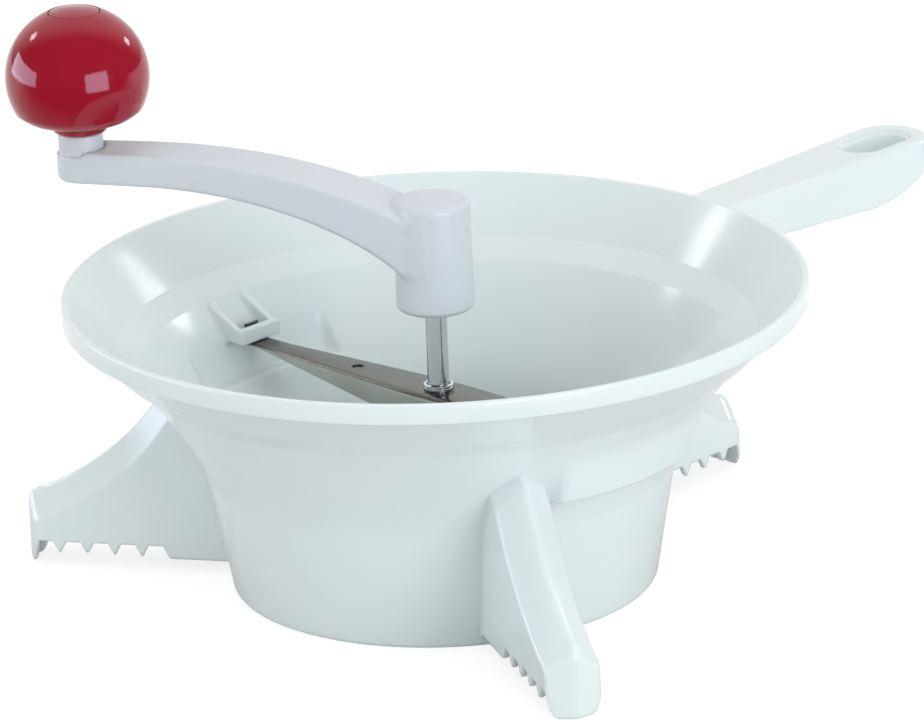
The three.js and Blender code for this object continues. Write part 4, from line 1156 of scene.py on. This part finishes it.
# %% Blade
sieve_low, sieve_rise, sieve_sheet = 3.3, 4.2, 1.0
sieve_dome_radius, sieve_flat_radius = 12.0, 56.5
blade_reach, blade_hub, blade_arc = 58.0, 11.0, math.radians(215)
hub_height, blade_gap, blade_climb, blade_sheet = 10.4, 0.6, 21.0, 1.2


def sieve_top_at(radius):
    share = np.clip((sieve_flat_radius - radius) / (sieve_flat_radius - sieve_dome_radius), 0, 1)
    return sieve_low + sieve_sheet + sieve_rise * share


def blade_low(radius, share):
    """The height of the blade's lower side, at a share of the way round from its scraping edge."""
    def outwards(end):
        return np.clip((radius - blade_hub) / (end - blade_hub), 0, 1)

    rest = hub_height + (sieve_top_at(radius) + blade_gap - hub_height) * outwards(20.0)
    return rest + blade_climb * share**1.5 * np.sqrt(outwards(blade_reach))


hub_rows = list(np.linspace(shaft_bore, blade_hub, 5))
outer_shares = np.linspace(0, 1, 33)[1:] ** 1.15
blade_rows = hub_rows + [blade_hub + (blade_reach - blade_hub) * s for s in outer_shares]
arc_columns = 90
turns = [*np.linspace(0, blade_arc, arc_columns + 1), *np.linspace(blade_arc, 2 * math.pi, 61)[1:-1]]
blade_points, blade_ids = [], {}
for layer, lift in enumerate((0.0, blade_sheet)):
    for r, radius in enumerate(blade_rows):
        for c, angle in enumerate(turns):
            if r >= len(hub_rows) and c > arc_columns:
                continue
            share = min(angle / blade_arc, 1.0) if c <= arc_columns else 0.0
            height = float(blade_low(radius, share)) + lift
            blade_ids[layer, r, c] = len(blade_points)
            blade_points.append((radius * math.cos(angle), radius * math.sin(angle), height))
blade_faces, open_edges = [], {}
for r in range(len(blade_rows) - 1):
    for c in range(len(turns) if r < len(hub_rows) - 1 else arc_columns):
        n = (c + 1) % len(turns)
        cell = [(r, c), (r + 1, c), (r + 1, n), (r, n)]
        blade_faces.append([blade_ids[1, r, c] for r, c in cell])
        blade_faces.append([blade_ids[0, r, c] for r, c in cell[::-1]])
        for edge in zip(cell, cell[1:] + cell[:1]):
            if edge[::-1] in open_edges:
                del open_edges[edge[::-1]]
            else:
                open_edges[edge] = True
for a, b in open_edges:
    blade_faces.append([blade_ids[1, *a], blade_ids[0, *a], blade_ids[0, *b], blade_ids[1, *b]])
blade = mesh_object("blade_pressed", blade_points, blade_faces)
dress(blade, sheet_steel, "crank", "blade")

# %% [markdown]
# ## The sieve
# The sieve is a dished plate full of holes, and the holes follow a rule: rings at even steps, each
# with six more holes than the ring inside it. That is what Geometry Nodes are for. The tree places a
# point for each hole by its number, puts a short rod on each point, and cuts the rods out of the plate.

# %% Helpers for node trees
LENGTH, WHOLE, PLACE, FINISH = (f"NodeSocket{kind}" for kind in ("Float", "Int", "Vector", "Material"))


def new_tree(name, sizes):
    """A geometry tree with named inputs for its sizes."""
    tree = bpy.data.node_groups.new(name, "GeometryNodeTree")
    tree.interface.new_socket("Geometry", in_out="INPUT", socket_type="NodeSocketGeometry")
    for title, kind, value in sizes:
        socket = tree.interface.new_socket(title, in_out="INPUT", socket_type=kind)
        if value is not None:
            socket.default_value = value
    tree.interface.new_socket("Geometry", in_out="OUTPUT", socket_type="NodeSocketGeometry")
    return tree, tree.nodes.new("NodeGroupInput")


def end_tree(tree, given, geometry):
    """Sets the finish on what a tree has made, and gives it out."""
    finish = add_node(tree, "GeometryNodeSetMaterial", Geometry=geometry, Material=(given, "Finish"))
    add_node(tree, "NodeGroupOutput", (finish, 0))
    print(tree.name, "tree:", len(tree.nodes), "nodes")


def run_tree(piece, tree, values):
    """Runs a tree on a piece and keeps the result as its plain mesh."""
    modifier = piece.modifiers.new(tree.name, "NODES")
    modifier.node_group = tree
    for socket in tree.interface.items_tree:
        if socket.item_type == "SOCKET" and socket.in_out == "INPUT" and socket.name in values:
            modifier[socket.identifier] = values[socket.name]
    piece.update_tag()
    keep_modified(piece)


# %% The sieve's tree
sieve_tree, given = new_tree(
    "perforations",
    [
        ("Rings", WHOLE, 5),
        ("First Ring", LENGTH, 0.017),
        ("Ring Pitch", LENGTH, 0.0084),
        ("Step", LENGTH, 6.0),
        ("Hole Radius", LENGTH, 0.0019),
        ("Centre", PLACE, None),
        ("Finish", FINISH, None),
    ],
)
new, calc = partial(add_node, sieve_tree), partial(maths, sieve_tree)
ring_total, step = (given, "Rings"), (given, "Step")
half_step = calc("DIVIDE", step, 2.0)
total = calc("MULTIPLY", calc("MULTIPLY", ring_total, calc("ADD", ring_total, 3.0)), half_step)
holes = new("GeometryNodePoints", Count=total)
index = (new("GeometryNodeInputIndex"), 0)
# The ring i of hole k is the whole part of (sqrt(9 + 4 k / half_step) - 3) / 2.
inner_sum = calc("ADD", calc("DIVIDE", calc("MULTIPLY", index, 4.0), half_step), 9.001)
ring = calc("FLOOR", calc("DIVIDE", calc("SUBTRACT", calc("SQRT", inner_sum), 3.0), 2.0))
before = calc("MULTIPLY", calc("MULTIPLY", ring, calc("ADD", ring, 3.0)), half_step)
ring_count = calc("MULTIPLY", calc("ADD", ring, 2.0), step)
angle = calc("MULTIPLY", calc("DIVIDE", calc("SUBTRACT", index, before), ring_count), 2 * math.pi)
ring_radius = calc("ADD", calc("MULTIPLY", ring, (given, "Ring Pitch")), (given, "First Ring"))
place_x, place_y = (calc("MULTIPLY", calc(part, angle), ring_radius) for part in ("COSINE", "SINE"))
spot = new("ShaderNodeCombineXYZ", place_x, place_y)
moved = new("ShaderNodeVectorMath", (spot, 0), (given, "Centre"))
put = new("GeometryNodeSetPosition", Geometry=(holes, 0), Position=(moved, 0))
rod = new("GeometryNodeMeshCylinder", Vertices=20, Depth=0.02, Radius=(given, "Hole Radius"))
rods = new("GeometryNodeInstanceOnPoints", Points=(put, 0), Instance=(rod, "Mesh"))
real = new("GeometryNodeRealizeInstances", (rods, 0))
cut = new("GeometryNodeMeshBoolean", operation="DIFFERENCE", solver="EXACT")
feed(sieve_tree, cut, "Mesh 1", (given, "Geometry"))
feed(sieve_tree, cut, "Mesh 2", (real, 0))
end_tree(sieve_tree, given, (cut, "Mesh"))

# %% The sieve
sieve_edge = float(radius_on(inner_part, 3.4)) - 0.6
plate_low = [(shaft_bore, sieve_low + sieve_rise, 0.2), (sieve_dome_radius, sieve_low + sieve_rise, 3.0)]
plate_low += [(sieve_flat_radius, sieve_low, 3.0), (sieve_edge, sieve_low, 0.4)]
plate = plate_low + [(radius, height + sieve_sheet, edge) for radius, height, edge in plate_low[::-1]]
sieve = mesh_object("sieve_perforated", *spin(rounded(plate), 120))
run_tree(sieve, sieve_tree, {"Centre": (axis_x, axis_y, 0.006), "Finish": sheet_steel})
dress(sieve, sheet_steel, "base", "sieve_disc")

# %% [markdown]
# ## The spring
# One coil spring sits round the shaft. It holds the crossbar up under its brackets and the blade down
# on the sieve, so its lower end moves with the blade's carrier and its upper end with the crossbar.
# Each half is its own piece and rides on the body that its end moves with. The
# wire is a spiral with a round section, which a Geometry Nodes tree draws from its sizes.

# %% The spring's tree
spring_tree, given = new_tree(
    "coil",
    [
        ("Turns", LENGTH, 4.0),
        ("Coil Radius", LENGTH, 0.0061),
        ("Height", LENGTH, 0.02),
        ("Wire Radius", LENGTH, 0.00075),
        ("Start", PLACE, None),
        ("Finish", FINISH, None),
    ],
)
new, coil_radius = partial(add_node, spring_tree), (given, "Coil Radius")
spiral = new("GeometryNodeCurveSpiral", Resolution=48, Rotations=(given, "Turns"), Height=(given, "Height"))
for end in ("Start Radius", "End Radius"):
    feed(spring_tree, spiral, end, coil_radius)
shift = new("GeometryNodeTransform", Geometry=(spiral, 0), Translation=(given, "Start"))
round_wire = new("GeometryNodeCurvePrimitiveCircle", Resolution=14, Radius=(given, "Wire Radius"))
wire = new("GeometryNodeCurveToMesh", Fill_Caps=True, Curve=(shift, 0), Profile_Curve=(round_wire, 0))
real = new("GeometryNodeRealizeInstances", (wire, 0))
end_tree(spring_tree, given, (real, 0))

# %% The spring's two halves
spring_low, spring_high, spring_middle, wire_radius = 21.1, 61.0, 41.05, 0.75
coil_low, coil_high = spring_low + wire_radius, spring_high - wire_radius
halves = (
    ("spring_lower_half", coil_low, spring_middle, "carrier", "shaft_lift", spring_low, 5.0),
    ("spring_upper_half", spring_middle, coil_high, "crossbar", "crossbar_press", spring_high, 6.0),
)
for name, low, high, body, joint, anchor, travel in halves:
    blank = bpy.data.objects.new(name, bpy.data.meshes.new(name))
    bpy.context.scene.collection.objects.link(blank)
    start = (axis_x, axis_y, low * MM)
    run_tree(blank, spring_tree, {"Height": (high - low) * MM, "Start": start, "Finish": wire_steel})
    dress(blank, wire_steel, body, "spring")
    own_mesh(blank)

# %% [markdown]
# ## Finish
# The imported solids that still show, such as the shaft's cross pin, take the finish of their slot.

# %% Finish
for entry in frame["record"]["subparts"]:
    node = frame["nodes"][entry["node"]]
    for place in node.material_slots:
        place.material = slot_materials[entry["material_slot"]]
